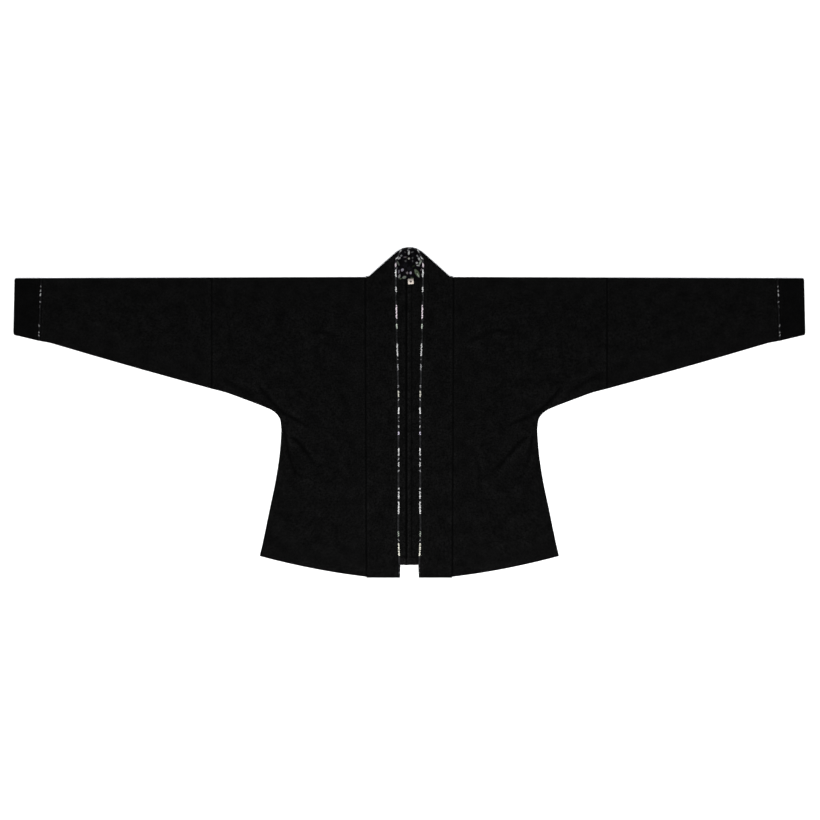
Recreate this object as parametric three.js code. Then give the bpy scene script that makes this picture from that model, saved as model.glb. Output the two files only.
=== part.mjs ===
// A short hanfu-style jacket, open in front, with a straight band collar, tapering sleeves and plain cuffs.
// It lies flat on its back: the back rests on the surface and the two fronts lie on it.
// Millimetres. +X is the wearer's left, +Y points to the neck and +Z up from the surface.
// In the plan, half is the distance from the centre line and down the distance below the shoulder fold.
import * as THREE from 'three';

// Outline of the whole jacket.
const collarRise = 64.7;
const bandBottom = 645.4;
const shoulderY = (bandBottom - collarRise) / 2;
const shoulderFall = 2.2;
const sleeveSeamHalf = 425;
const cuffSeamFoldHalf = 789.2;
const cuffSeamUnderHalf = 794.4;
const cuffEndFoldHalf = 849;
const cuffEndUnderHalf = 851.5;
const cuffCorner = 5;
const edgingWidth = 4;
const seamGap = 0.3;

// Cloth walls and how the layers lie on each other.
const clothWall = 1.2;
const cuffWall = 1.6;
const cuffEdgingWall = 1.8;
const layerGap = 0.8;
const foldInset = 2;
const foldReach = 6;
const restReach = 2;
const innerReach = 5;

// Front and back hems, and the relief on the inside of the back.
const frontHemDown = 643.3;
const sideCornerDown = 598;
const sideCornerHalf = 321.6;
const backHemDown = 617.5;
const backHemPower = 2.2;
const frontHemBow = 4.4;
const backHemBow = 2.8;
const turnUpHeight = 15;
const reliefRise = 0.5;
const allowanceHalf = 5.6;
const reliefStep = 1;
const hemDroopStart = 4;
const hemDroopEnd = 14;

// Collar band.
const bandThickness = 2;
const seamHalfAtNeck = 95;
const seamHalfAtHem = 92.3;
const neckTurnDown = 26;
const neckSeamDown = 5;
const facingThickness = 1;
const labelThickness = 1;

// Key rings of a body piece from the sleeve seam to the neck. A ring runs from the shoulder fold to the underarm.
const sleeveSideRings = [
  { foldHalf: 424.85, endHalf: 424.85, endDown: 238.7, steps: 2 },
  { foldHalf: 372, endHalf: 393, endDown: 246.5, steps: 2 },
  { foldHalf: 318, endHalf: 353, endDown: 261, steps: 2 },
  { foldHalf: 262, endHalf: 318, endDown: 274.5, steps: 3 },
  { foldHalf: 205, endHalf: 296, endDown: 284.5, steps: 3 },
  { foldHalf: 148, endHalf: 285.2, endDown: 293, steps: 3 },
];

// Key rings from the neck to the hem. A ring runs from the collar seam to the underarm and the side seam.
const seamSideRings = [
  { seamDown: 0, endHalf: 280.4, endDown: 299.5, steps: 1 },
  { seamDown: 7, endHalf: 279.2, endDown: 301.5, steps: 2 },
  { seamDown: 85, endHalf: 277, endDown: 307.5, steps: 3 },
  { seamDown: 175, endHalf: 275.7, endDown: 316, steps: 3 },
  { seamDown: 260, endHalf: 274.8, endDown: 328, steps: 3 },
  { seamDown: 330, endHalf: 275.8, endDown: 350, steps: 3 },
  { seamDown: 385, endHalf: 279, endDown: 384, steps: 3 },
  { seamDown: 450, endHalf: 287, endDown: 437, steps: 2 },
  { seamDown: 520, endHalf: 300, endDown: 499, steps: 2 },
  { seamDown: 580, endHalf: 312, endDown: 555, steps: 1 },
  { seamDown: 617, endHalf: 318.2, endDown: 583, steps: 1 },
  { seamDown: 631, endHalf: 320.2, endDown: 591, steps: 1 },
  { seamDown: frontHemDown, endHalf: sideCornerHalf, endDown: sideCornerDown, steps: 0 },
];

// Lower edge of sleeve and cuff.
const sleeveUnderside = [
  { half: 425.15, down: 238.7 },
  { half: 773, down: 140 },
  { half: 798, down: 135.6 },
  { half: 841, down: 125.5 },
  { half: 851.5, down: 124 },
];

// Free edge of the collar band down the front, with its edging.
const frontEdgeLine = [
  { down: 12, half: 28 },
  { down: 170, half: 26.3 },
  { down: 400, half: 23.4 },
  { down: bandBottom, half: 22.2 },
];

// Rings of the collar band where it turns over at the neck and runs across the back, from the seam side over a knee
// to the free edge. level is the height of the band's middle, and turn is how far it has rolled, in quarter circles.
const neckRings = [
  { seamHalf: 94.9, seamDown: 14, edgeHalf: 28.4, edgeDown: -6, seamLevel: 3.1, edgeLevel: 4.6, turn: 0 },
  { seamHalf: 94.9, seamDown: 9, edgeHalf: 28.7, edgeDown: -22, seamLevel: 3.2, edgeLevel: 4.6, turn: 0 },
  { seamHalf: 94.8, seamDown: 6.2, edgeHalf: 28, edgeDown: -33, seamLevel: 3.3, edgeLevel: 4.6, turn: 0 },
  { seamHalf: 94.7, seamDown: 4.4, edgeHalf: 24.8, edgeDown: -42, seamLevel: 3.3, edgeLevel: 4.6, turn: 0 },
  { seamHalf: 94.6, seamDown: 3.3, edgeHalf: 20.8, edgeDown: -49, seamLevel: 3.3, edgeLevel: 4.6, turn: 0 },
  { seamHalf: 94.5, seamDown: 2.6, edgeHalf: 16.9, edgeDown: -55.6, seamLevel: 3.3, edgeLevel: 4.6, turn: 0 },
  { seamHalf: 94.4, seamDown: 2.1, edgeHalf: 13.1, edgeDown: -62.6, seamLevel: 3.3, edgeLevel: 4.6, turn: 0 },
  { seamHalf: 94.4, seamDown: 2.1, edgeHalf: 13.1, edgeDown: -62.6, seamLevel: 3.3, edgeLevel: 4.6, turn: 0.5 },
  { seamHalf: 94.4, seamDown: 2.1, edgeHalf: 13.1, edgeDown: -62.6, seamLevel: 3.3, edgeLevel: 4.6, turn: 1 },
  { seamHalf: 94.4, seamDown: 2.1, edgeHalf: 13.1, edgeDown: -62.6, seamLevel: 3.3, edgeLevel: 4.6, turn: 1.5 },
  { seamHalf: 94.4, seamDown: 2.1, edgeHalf: 13.1, edgeDown: -62.6, seamLevel: 3.3, edgeLevel: 4.6, turn: 2 },
  { seamHalf: 88, seamDown: 4.4, edgeHalf: 9.6, edgeDown: -63.9, seamLevel: 3.3, edgeLevel: 4.6, turn: 2 },
  { seamHalf: 74, seamDown: neckSeamDown, edgeHalf: 6.5, edgeDown: -64.6, seamLevel: 3.3, edgeLevel: 4.6, turn: 2 },
  { seamHalf: 46, seamDown: neckSeamDown, edgeHalf: 4.2, edgeDown: -collarRise, seamLevel: 3.3, edgeLevel: 4.6, turn: 2 },
  { seamHalf: 20, seamDown: neckSeamDown, edgeHalf: 1.8, edgeDown: -collarRise, seamLevel: 3.3, edgeLevel: 4.6, turn: 2 },
];

// The fold of the band follows the shoulder for a short way and then rises to the neck: how far each ring's knee
// is pulled down off the straight way between its ends.
const kneeShare = 0.11;
const kneeDrop = 6.9;

// Soft swells of the upper layer, where air stays between the layers.
const swells = [
  { half: 215, down: 130, acrossReach: 95, downReach: 80, rise: 1.8 },
  { half: 345, down: 130, acrossReach: 80, downReach: 75, rise: 1.9 },
  { half: 300, down: 235, acrossReach: 75, downReach: 42, rise: 2.3 },
  { half: 205, down: 300, acrossReach: 60, downReach: 60, rise: 2.2 },
  { half: 215, down: 400, acrossReach: 62, downReach: 75, rise: 2.9 },
  { half: 205, down: 540, acrossReach: 90, downReach: 60, rise: 1.8 },
  { half: 500, down: 105, acrossReach: 90, downReach: 60, rise: 2.2 },
  { half: 640, down: 88, acrossReach: 90, downReach: 48, rise: 2 },
  { half: 745, down: 72, acrossReach: 50, downReach: 38, rise: 1.6 },
];

// Creases that lie across the upper layer, as troughs. side is +1 on the wearer's left and -1 on the right.
const creases = [
  { side: -1, half: [323, 278, 205], down: [238, 285, 328], depth: 3.2, reach: 9 },
  { side: -1, half: [252, 201, 172], down: [337, 404, 406], depth: 2.4, reach: 10 },
  { side: -1, half: [267, 259, 228], down: [333, 384, 426], depth: 1.9, reach: 9 },
  { side: -1, half: [274, 254, 235], down: [419, 442, 462], depth: 1, reach: 9 },
  { side: -1, half: [414, 379, 328], down: [197, 238, 257], depth: 2, reach: 10 },
  { side: -1, half: [209, 173, 140], down: [115, 120, 135], depth: 1, reach: 11 },
  { side: -1, half: [147, 134, 130], down: [247, 350, 419], depth: 0.9, reach: 12 },
  { side: 1, half: [326, 279, 212], down: [238, 285, 318], depth: 2.8, reach: 9 },
  { side: 1, half: [251, 218, 186], down: [341, 376, 410], depth: 2.4, reach: 10 },
  { side: 1, half: [266, 258, 249], down: [341, 382, 423], depth: 1.9, reach: 9 },
  { side: 1, half: [406, 366, 326], down: [210, 234, 255], depth: 1.8, reach: 10 },
  { side: 1, half: [212, 169, 105], down: [118, 120, 146], depth: 1.1, reach: 11 },
  { side: 1, half: [152, 168, 182], down: [451, 485, 520], depth: 0.9, reach: 11 },
  { side: 1, half: [130, 132, 135], down: [358, 396, 434], depth: 0.9, reach: 12 },
];

const clothColour = 0x0f0f0f;
const cuffColour = 0x0a0a0a;
const printColour = 0x34352f;
const labelColour = 0xd6ccc0;

function blend(from, to, share) {
  return from + (to - from) * share;
}

// 0 below from, 1 above to, with a soft passage between them.
function ramp(from, to, value) {
  return THREE.MathUtils.smoothstep(value, from, to);
}

// Rise of a rounded edge at a distance from it, 0 on the edge and 1 past the reach.
function roundedEdge(distance, reach) {
  const rest = 1 - THREE.MathUtils.clamp(distance / reach, 0, 1);
  return Math.sqrt(1 - rest * rest);
}

// Reads a column of a table between its rows, in a straight line.
function readTable(rows, keyColumn, valueColumn, key) {
  let index = 0;
  while (index < rows.length - 2 && key > rows[index + 1][keyColumn]) {
    index += 1;
  }
  const low = rows[index];
  const high = rows[index + 1];
  const share = (key - low[keyColumn]) / (high[keyColumn] - low[keyColumn]);
  return blend(low[valueColumn], high[valueColumn], THREE.MathUtils.clamp(share, 0, 1));
}

function foldDownAt(half) {
  return shoulderFall * (half / cuffEndUnderHalf);
}

function backHemAt(half) {
  return backHemDown - (backHemDown - sideCornerDown) * Math.pow(half / sideCornerHalf, backHemPower);
}

function collarSeamHalfAt(down) {
  const share = THREE.MathUtils.clamp((down - neckTurnDown) / (bandBottom - neckTurnDown), 0, 1);
  return blend(seamHalfAtNeck, seamHalfAtHem, share);
}

// How far the fronts sink to the surface past the shorter back hem.
function hemDroopAt(half, down) {
  const hem = backHemAt(half);
  return (clothWall + layerGap) * ramp(hem + hemDroopStart, hem + hemDroopEnd, down);
}

// Raised centre back allowance and turned-up hem, on the inside of the back.
function insideReliefAt(half, down) {
  const onAllowance = half < allowanceHalf + reliefStep / 2;
  const onTurnUp = down > backHemAt(half) - turnUpHeight;
  return onAllowance || onTurnUp ? reliefRise : 0;
}

function distanceToStretch(half, down, fromHalf, fromDown, toHalf, toDown) {
  const acrossLength = toHalf - fromHalf;
  const downLength = toDown - fromDown;
  const along = (half - fromHalf) * acrossLength + (down - fromDown) * downLength;
  const share = THREE.MathUtils.clamp(along / (acrossLength ** 2 + downLength ** 2), 0, 1);
  return Math.hypot(half - fromHalf - share * acrossLength, down - fromDown - share * downLength);
}

function creaseDepthAt(crease, half, down) {
  let nearest = Infinity;
  for (let index = 0; index < crease.half.length - 1; index += 1) {
    const next = index + 1;
    const distance = distanceToStretch(
      half, down, crease.half[index], crease.down[index], crease.half[next], crease.down[next]);
    nearest = Math.min(nearest, distance);
  }
  return crease.depth * Math.exp(-((nearest / crease.reach) ** 2));
}

// How far the upper layer is lifted off the lower one. It is never less than flat.
function liftAt(side, half, down) {
  let lift = 0;
  for (const swell of swells) {
    const across = (half - swell.half) / swell.acrossReach;
    const along = (down - swell.down) / swell.downReach;
    lift += swell.rise * Math.exp(-(across * across + along * along));
  }
  for (const crease of creases) {
    if (crease.side === side) {
      lift -= creaseDepthAt(crease, half, down);
    }
  }
  return Math.max(lift, 0);
}

function newSkin() {
  return { places: [], corners: [] };
}

function addPoint(skin, half, down, height) {
  skin.places.push(half, shoulderY - down, height);
  return skin.places.length / 3 - 1;
}

// Two triangles, split along the more level diagonal so that a crease isn't notched.
function addQuad(skin, a, b, c, d) {
  const heightOf = (corner) => skin.places[3 * corner + 2];
  const levelFirst = Math.abs(heightOf(a) - heightOf(c)) <= Math.abs(heightOf(b) - heightOf(d));
  skin.corners.push(...(levelFirst ? [a, b, c, a, c, d] : [a, b, d, b, c, d]));
}

// Covers a grid of points, rows by places across, with faces that look up or down.
function addFaces(skin, grid, lookUp) {
  for (let row = 0; row < grid.length - 1; row += 1) {
    for (let place = 0; place < grid[row].length - 1; place += 1) {
      const corners = [grid[row][place], grid[row + 1][place], grid[row + 1][place + 1], grid[row][place + 1]];
      addQuad(skin, ...(lookUp ? corners : corners.reverse()));
    }
  }
}

// Closes a free edge between the upper and the lower face of a wall, followed with the wall on the left.
function addRim(skin, upper, lower) {
  for (let index = 0; index < upper.length - 1; index += 1) {
    addQuad(skin, upper[index + 1], upper[index], lower[index], lower[index + 1]);
  }
}

// Makes the named mesh. Side -1 mirrors it to the wearer's right.
function meshFrom(skin, name, side, colour, roughness) {
  const places = skin.places.map((value, index) => (index % 3 === 0 ? value * side : value));
  const corners = side > 0 ? skin.corners : skin.corners.slice().reverse();
  const geometry = new THREE.BufferGeometry();
  geometry.setAttribute('position', new THREE.Float32BufferAttribute(places, 3));
  geometry.setIndex(corners);
  geometry.computeVertexNormals();
  const material = new THREE.MeshStandardMaterial({ color: colour, roughness, metalness: 0 });
  const mesh = new THREE.Mesh(geometry, material);
  mesh.name = name;
  return mesh;
}

// Distances along a ring: close together at both ends, where the edges are rounded, and spaced between them, even
// or closer towards the underarm where crowding is over 1.
function placesAlong(length, endPlaces, middleSteps, crowding) {
  const reach = endPlaces[endPlaces.length - 1];
  const middle = [];
  for (let step = 1; step < middleSteps; step += 1) {
    const share = 1 - Math.pow(1 - step / middleSteps, crowding);
    middle.push(blend(reach, length - reach, share));
  }
  const far = endPlaces.map((place) => length - place).reverse();
  return [...endPlaces, ...middle, ...far];
}

const frontEnds = [0, 1.6, 6.5];
const backEnds = [0, 2.2];
const bodySteps = 15;
const bodyCrowding = 1.4;
const sleeveSteps = 9;
const cuffSteps = 6;
const backSteps = 3;

// The point at a distance along a ring. The ring bows downwards by its bow in the middle.
function pointOnRing(ring, length, distance) {
  const share = distance / length;
  return {
    half: blend(ring.startHalf, ring.endHalf, share),
    down: blend(ring.startDown, ring.endDown, share) + 4 * ring.bow * share * (1 - share),
  };
}

function ringLength(ring) {
  return Math.hypot(ring.endHalf - ring.startHalf, ring.endDown - ring.startDown);
}

// Moves a distance in from a joined edge, for the inside of the wall.
function insideDistance(distance, length, startJoined) {
  const startShift = startJoined ? foldInset * Math.exp(-distance / 3) : 0;
  const endShift = foldInset * Math.exp(-(length - distance) / 3);
  return distance + startShift - endShift;
}

// One layer of a ring: its outer and inner points, from the start to the underarm end. joined carries the points
// that a joined edge shares with the other layer.
function layerRing(skin, ring, layer, joined) {
  const front = layer === 'front';
  const length = ringLength(ring);
  const distances = front
    ? placesAlong(length, frontEnds, ring.frontSteps, ring.crowding)
    : placesAlong(length, backEnds, backSteps, 1);
  const outer = [];
  const inner = [];
  distances.forEach((distance, index) => {
    const atStart = index === 0 && ring.startJoined;
    const atEnd = index === distances.length - 1;
    if (!front && (atStart || atEnd)) {
      outer.push(atStart ? joined.startOuter : joined.endOuter);
      inner.push(atStart ? joined.startInner : joined.endInner);
      return;
    }
    outer.push(outerPoint(skin, ring, front, length, distance));
    inner.push(innerPoint(skin, ring, front, length, insideDistance(distance, length, ring.startJoined)));
  });
  return { outer, inner };
}

// Share of the full height at a place, which drops to the middle at a joined edge.
function edgeShare(ring, point, length, distance, inset, reach) {
  const fromFold = ring.startSide === 'fold' ? point.down - foldDownAt(point.half) - inset : reach;
  return roundedEdge(fromFold, reach) * roundedEdge(length - distance - inset, reach);
}

function outerPoint(skin, ring, front, length, distance) {
  const point = pointOnRing(ring, length, distance);
  const middle = ring.wall + layerGap / 2;
  const share = edgeShare(ring, point, length, distance, 0, front ? foldReach : restReach);
  if (!front) {
    return addPoint(skin, point.half, point.down, middle - middle * share);
  }
  const full = middle + liftAt(ring.side, point.half, point.down);
  return addPoint(skin, point.half, point.down, middle + full * share - hemDroopAt(point.half, point.down));
}

function innerPoint(skin, ring, front, length, distance) {
  const point = pointOnRing(ring, length, distance);
  const middle = ring.wall + layerGap / 2;
  const share = edgeShare(ring, point, length, distance, foldInset, innerReach);
  if (!front) {
    const relief = insideReliefAt(point.half, point.down) * ramp(0.9, 1, share);
    return addPoint(skin, point.half, point.down, middle - (layerGap / 2) * share + relief);
  }
  const full = layerGap / 2 + liftAt(ring.side, point.half, point.down);
  return addPoint(skin, point.half, point.down, middle + full * share - hemDroopAt(point.half, point.down));
}

// Both layers of every ring, joined at the underarm end and, where the ring starts on a fold, at its start.
function layerRings(skin, rings) {
  return rings.map((ring) => {
    const front = layerRing(skin, ring, 'front', null);
    const last = front.outer.length - 1;
    const joined = {
      startOuter: front.outer[0],
      startInner: front.inner[0],
      endOuter: front.outer[last],
      endInner: front.inner[last],
    };
    const backRing = ring.back ? { ...ring, ...ring.back } : ring;
    const back = layerRing(skin, backRing, 'back', joined);
    return { ring, front, back };
  });
}

function addLayerFaces(skin, layers) {
  addFaces(skin, layers.map((layer) => layer.front.outer), true);
  addFaces(skin, layers.map((layer) => layer.front.inner), false);
  addFaces(skin, layers.map((layer) => layer.back.inner), true);
  addFaces(skin, layers.map((layer) => layer.back.outer), false);
}

// A flattened tube, open at both ends.
function tubeSkin(rings) {
  const skin = newSkin();
  const layers = layerRings(skin, rings);
  addLayerFaces(skin, layers);
  const first = layers[0];
  const last = layers[layers.length - 1];
  addRim(skin, first.front.outer.slice().reverse(), first.front.inner.slice().reverse());
  addRim(skin, first.back.inner.slice().reverse(), first.back.outer.slice().reverse());
  addRim(skin, last.front.outer, last.front.inner);
  addRim(skin, last.back.inner, last.back.outer);
  return skin;
}

function tubeRing(side, wall, foldHalf, underHalf, corner) {
  return {
    side,
    wall,
    frontSteps: wall === clothWall ? sleeveSteps : cuffSteps,
    crowding: 1,
    startSide: 'fold',
    startJoined: true,
    startHalf: foldHalf,
    startDown: foldDownAt(foldHalf) + corner,
    endHalf: underHalf,
    endDown: readTable(sleeveUnderside, 'half', 'down', underHalf) - corner,
    bow: 0,
  };
}

function evenTubeRings(side, wall, from, to, steps) {
  const rings = [];
  for (let step = 0; step <= steps; step += 1) {
    const share = step / steps;
    rings.push(tubeRing(side, wall, blend(from.fold, to.fold, share), blend(from.under, to.under, share), 0));
  }
  return rings.reverse();
}

const cuffSeam = { fold: cuffSeamFoldHalf, under: cuffSeamUnderHalf };

function movedOut(place, distance) {
  return { fold: place.fold + distance, under: place.under + distance };
}

function sleeveSkin(side) {
  const start = sleeveSeamHalf + seamGap / 2;
  return tubeSkin(evenTubeRings(side, clothWall, { fold: start, under: start }, cuffSeam, 8));
}

function cuffEdgingSkin(side) {
  const from = movedOut(cuffSeam, seamGap);
  return tubeSkin(evenTubeRings(side, cuffEdgingWall, from, movedOut(from, edgingWidth), 2));
}

// The cuff's end has rounded corners.
function cuffSkin(side) {
  const from = movedOut(cuffSeam, edgingWidth + 2 * seamGap);
  const end = { fold: cuffEndFoldHalf, under: cuffEndUnderHalf };
  const rings = evenTubeRings(side, cuffWall, from, movedOut(end, -cuffCorner), 3);
  const cornerSteps = 2;
  for (let step = 1; step <= cornerSteps; step += 1) {
    const angle = (Math.PI / 2) * (step / cornerSteps);
    const reach = cuffCorner * Math.sin(angle);
    const inset = cuffCorner * (1 - Math.cos(angle)) * 0.8;
    const place = movedOut(end, reach - cuffCorner);
    rings.unshift(tubeRing(side, cuffWall, place.fold, place.under, inset));
  }
  return tubeSkin(rings);
}

// Body rings: the key rings and the ones between them.
const underarmLine = new THREE.CatmullRomCurve3(
  [...sleeveSideRings, ...seamSideRings].map((row) => new THREE.Vector3(row.endHalf, row.endDown, 0)),
  false,
  'centripetal');

function bodyRing(side, rowIndex, share) {
  const rows = [...sleeveSideRings, ...seamSideRings];
  const end = underarmLine.getPoint((rowIndex + share) / (rows.length - 1));
  const ring = { side, wall: clothWall, endHalf: end.x, endDown: end.y, startSide: 'fold', bow: 0 };
  ring.frontSteps = bodySteps;
  ring.crowding = bodyCrowding;
  if (rowIndex < sleeveSideRings.length) {
    const next = rows[rowIndex + 1];
    const nextHalf = next.foldHalf ?? seamHalfAtNeck + seamGap;
    ring.startHalf = blend(rows[rowIndex].foldHalf, nextHalf, share);
    ring.startDown = foldDownAt(ring.startHalf);
    ring.startJoined = true;
    return ring;
  }
  const next = rows[Math.min(rowIndex + 1, rows.length - 1)];
  ring.startDown = blend(rows[rowIndex].seamDown, next.seamDown, share);
  ring.startHalf = collarSeamHalfAt(ring.startDown) + seamGap;
  ring.startJoined = ring.startDown === 0;
  if (ring.startJoined) {
    ring.startDown = foldDownAt(ring.startHalf);
  }
  const waistDown = 330;
  const hemShare = THREE.MathUtils.clamp((ring.startDown - waistDown) / (frontHemDown - waistDown), 0, 1);
  ring.bow = frontHemBow * hemShare;
  const backStart = ring.startDown - (frontHemDown - backHemAt(ring.startHalf)) * hemShare;
  ring.back = { startDown: backStart, bow: backHemBow * hemShare };
  return ring;
}

function bodyRings(side) {
  const rings = [];
  [...sleeveSideRings, ...seamSideRings].forEach((row, rowIndex) => {
    for (let step = 0; step < Math.max(row.steps, 1); step += 1) {
      rings.push(bodyRing(side, rowIndex, step / Math.max(row.steps, 1)));
    }
  });
  return rings;
}

// The back goes on from the collar seam's line to the centre back.
const backColumns = [94.8, 88, 50, allowanceHalf + reliefStep, allowanceHalf, seamGap / 2];
const neckEaseDown = 80;
const backNeckline = [
  { half: 0, down: neckSeamDown + seamGap },
  { half: 74, down: neckSeamDown + seamGap },
  { half: 88, down: neckSeamDown },
  { half: 94.8, down: 2.5 },
];

function backExtension(skin, layer) {
  const start = layer.ring.back.startDown;
  const neckEase = 1 - THREE.MathUtils.clamp(start / neckEaseDown, 0, 1);
  const outer = [layer.back.outer[0]];
  const inner = [layer.back.inner[0]];
  const hemShift = backHemAt(0) - backHemAt(layer.ring.startHalf);
  for (const half of backColumns) {
    const neckShift = neckEase * readTable(backNeckline, 'half', 'down', half);
    const down = start + neckShift + hemShift * (start / backHemDown);
    outer.push(addPoint(skin, half, down, 0));
    inner.push(addPoint(skin, half, down, clothWall + insideReliefAt(half, down)));
  }
  return { outer: outer.reverse(), inner: inner.reverse() };
}

function bodySkin(side) {
  const skin = newSkin();
  const layers = layerRings(skin, bodyRings(side));
  addLayerFaces(skin, layers);
  const neckIndex = layers.findIndex((layer) => layer.ring.back !== undefined);
  const first = layers[0];
  const last = layers[layers.length - 1];
  const seamLayers = layers.slice(neckIndex);
  const extensions = seamLayers.map((layer) => backExtension(skin, layer));
  const neck = extensions[0];
  const hem = extensions[extensions.length - 1];
  addFaces(skin, extensions.map((part) => part.inner), true);
  addFaces(skin, extensions.map((part) => part.outer), false);
  addRim(skin, first.front.outer.slice().reverse(), first.front.inner.slice().reverse());
  addRim(skin, first.back.inner.slice().reverse(), first.back.outer.slice().reverse());
  addRim(skin, seamLayers.map((layer) => layer.front.outer[0]), seamLayers.map((layer) => layer.front.inner[0]));
  addRim(skin, neck.inner.slice().reverse(), neck.outer.slice().reverse());
  addRim(skin, extensions.map((part) => part.inner[0]), extensions.map((part) => part.outer[0]));
  addRim(skin, [...hem.inner, ...last.back.inner.slice(1)], [...hem.outer, ...last.back.outer.slice(1)]);
  addRim(skin, last.front.outer, last.front.inner);
  return skin;
}

// Collar rings of the wearer's left half, from the hem to the centre back.
function frontCollarRing(down) {
  return {
    seamHalf: collarSeamHalfAt(down),
    seamDown: down,
    edgeHalf: readTable(frontEdgeLine, 'down', 'half', down),
    edgeDown: down,
    seamLevel: clothWall + layerGap + bandThickness / 2,
    edgeLevel: clothWall + layerGap + bandThickness / 2,
    turn: 0,
  };
}

const frontRingDowns = [bandBottom, 638, 631, 625, 618, 560, 500, 440, 380, 320, 260, 200, 140, 95, 62];
const neckEntry = { ...frontCollarRing(12), seamDown: neckTurnDown, seamHalf: seamHalfAtNeck, edgeLevel: 4.6 };

function mirroredRing(ring) {
  return { ...ring, seamHalf: -ring.seamHalf, edgeHalf: -ring.edgeHalf, mirrored: true };
}

function collarRings() {
  const half = [...frontRingDowns.map(frontCollarRing), neckEntry, ...neckRings];
  const centre = { ...neckRings[neckRings.length - 1], seamHalf: 0, edgeHalf: 0 };
  return [...half, centre, ...half.map(mirroredRing).reverse()];
}

const neckFold = neckRings.find((ring) => ring.turn === 1);
const foldRise = neckFold.seamDown - neckFold.edgeDown;
const foldRun = neckFold.seamHalf - neckFold.edgeHalf - kneeDrop;
const foldWayOut = new THREE.Vector2(foldRise, -foldRun).normalize();
const shoulderWayOut = new THREE.Vector2(0, -1);
const backLevel = bandThickness / 2;
const leastSlantSine = 0.33;

// Drop of a ring at its knee: full on the fold, less as the ring lies flatter.
function kneeDropAt(ring, share) {
  const slope = (ring.seamDown - ring.edgeDown) / foldRise;
  const nearKnee = share < kneeShare ? share / kneeShare : (1 - share) / (1 - kneeShare);
  const reach = ring.turn === 0 ? ramp(0.5, 1, slope) : 1;
  const past = ring.turn === 2 ? ramp(46, neckFold.seamHalf, Math.abs(ring.seamHalf)) : 1;
  return kneeDrop * nearKnee * reach * past;
}

// A point of the band: share runs from the seam to the free edge, and offset is out of the band's middle.
function collarPoint(ring, share, offset) {
  const angle = (ring.turn * Math.PI) / 2;
  const level = blend(ring.seamLevel, ring.edgeLevel, ramp(0, 0.6, share));
  const radius = (level - backLevel) / 2;
  const reach = (radius + offset) * Math.sin(angle);
  const sign = ring.mirrored ? -1 : 1;
  const out = foldWayOut.clone().lerp(shoulderWayOut, 1 - THREE.MathUtils.clamp(share / (2 * kneeShare), 0, 1));
  out.normalize();
  const half = blend(ring.seamHalf, ring.edgeHalf, share) + sign * out.x * reach;
  const down = blend(ring.seamDown, ring.edgeDown, share) + kneeDropAt(ring, share) + out.y * reach;
  const droop = ring.turn === 0 ? hemDroopAt(Math.abs(half), down) : 0;
  const height = backLevel + radius + (radius + offset) * Math.cos(angle) - droop;
  return { half, down, height };
}

// How much longer a ring's way across the edging is than the edging's width, where the ring meets the free edge
// on the slant. Rings of the rolled fold share one free end, so the neighbours are looked for past them.
function edgeSlant(rings, index) {
  const ring = rings[index];
  const differs = (other) => other.edgeHalf !== ring.edgeHalf || other.edgeDown !== ring.edgeDown;
  const before = rings.slice(0, index).reverse().find(differs) ?? ring;
  const after = rings.slice(index + 1).find(differs) ?? ring;
  const ringWay = new THREE.Vector2(ring.seamHalf - ring.edgeHalf, ring.seamDown - ring.edgeDown).normalize();
  const slants = [[before, ring], [ring, after]].filter(([from, to]) => from !== to).map(([from, to]) => {
    const edgeWay = new THREE.Vector2(to.edgeHalf - from.edgeHalf, to.edgeDown - from.edgeDown).normalize();
    return 1 / Math.max(Math.abs(ringWay.cross(edgeWay)), leastSlantSine);
  });
  return slants.reduce((sum, slant) => sum + slant, 0) / slants.length;
}

// Sweeps a flat section with the given shares and half thicknesses through the collar rings.
function collarStrip(shareAt, sections) {
  const skin = newSkin();
  const rings = collarRings();
  const loops = rings.map((ring, index) => {
    const width = Math.hypot(ring.seamHalf - ring.edgeHalf, ring.seamDown - ring.edgeDown) / edgeSlant(rings, index);
    const faces = [1, -1].map((face) => sections.map((section) => {
      const point = collarPoint(ring, shareAt(section.place, width), face * section.thickness);
      return addPoint(skin, point.half, point.down, point.height);
    }));
    return [...faces[0], ...faces[1].reverse()];
  });
  const closed = loops.map((loop) => [...loop, loop[0]]);
  addFaces(skin, closed, true);
  for (const end of [loops[0], loops[loops.length - 1].slice().reverse()]) {
    capLoop(skin, end);
  }
  return skin;
}

// Closes the end of a strip between its two faces.
function capLoop(skin, loop) {
  const lastPair = loop.length / 2 - 1;
  for (let index = 0; index < lastPair; index += 1) {
    addQuad(skin, loop[index], loop[index + 1], loop[loop.length - 2 - index], loop[loop.length - 1 - index]);
  }
}

const bandSections = [0, 0.03, 0.12, 0.34, 0.56, 0.78, 0.97, 1].map((place) => ({
  place,
  thickness: (bandThickness / 2) * (place === 0 || place === 1 ? 0.6 : 1),
}));

const edgingSections = [0, 0.3, 0.7, 1].map((place) => ({
  place,
  thickness: (bandThickness / 2) * (place === 0 || place === 1 ? 0.5 : 1),
}));

function collarBandSkin() {
  return collarStrip((place, width) => place * (1 - (edgingWidth + seamGap) / width), bandSections);
}

function collarEdgingSkin() {
  return collarStrip((place, width) => 1 - (edgingWidth / width) * (1 - place), edgingSections);
}

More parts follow.
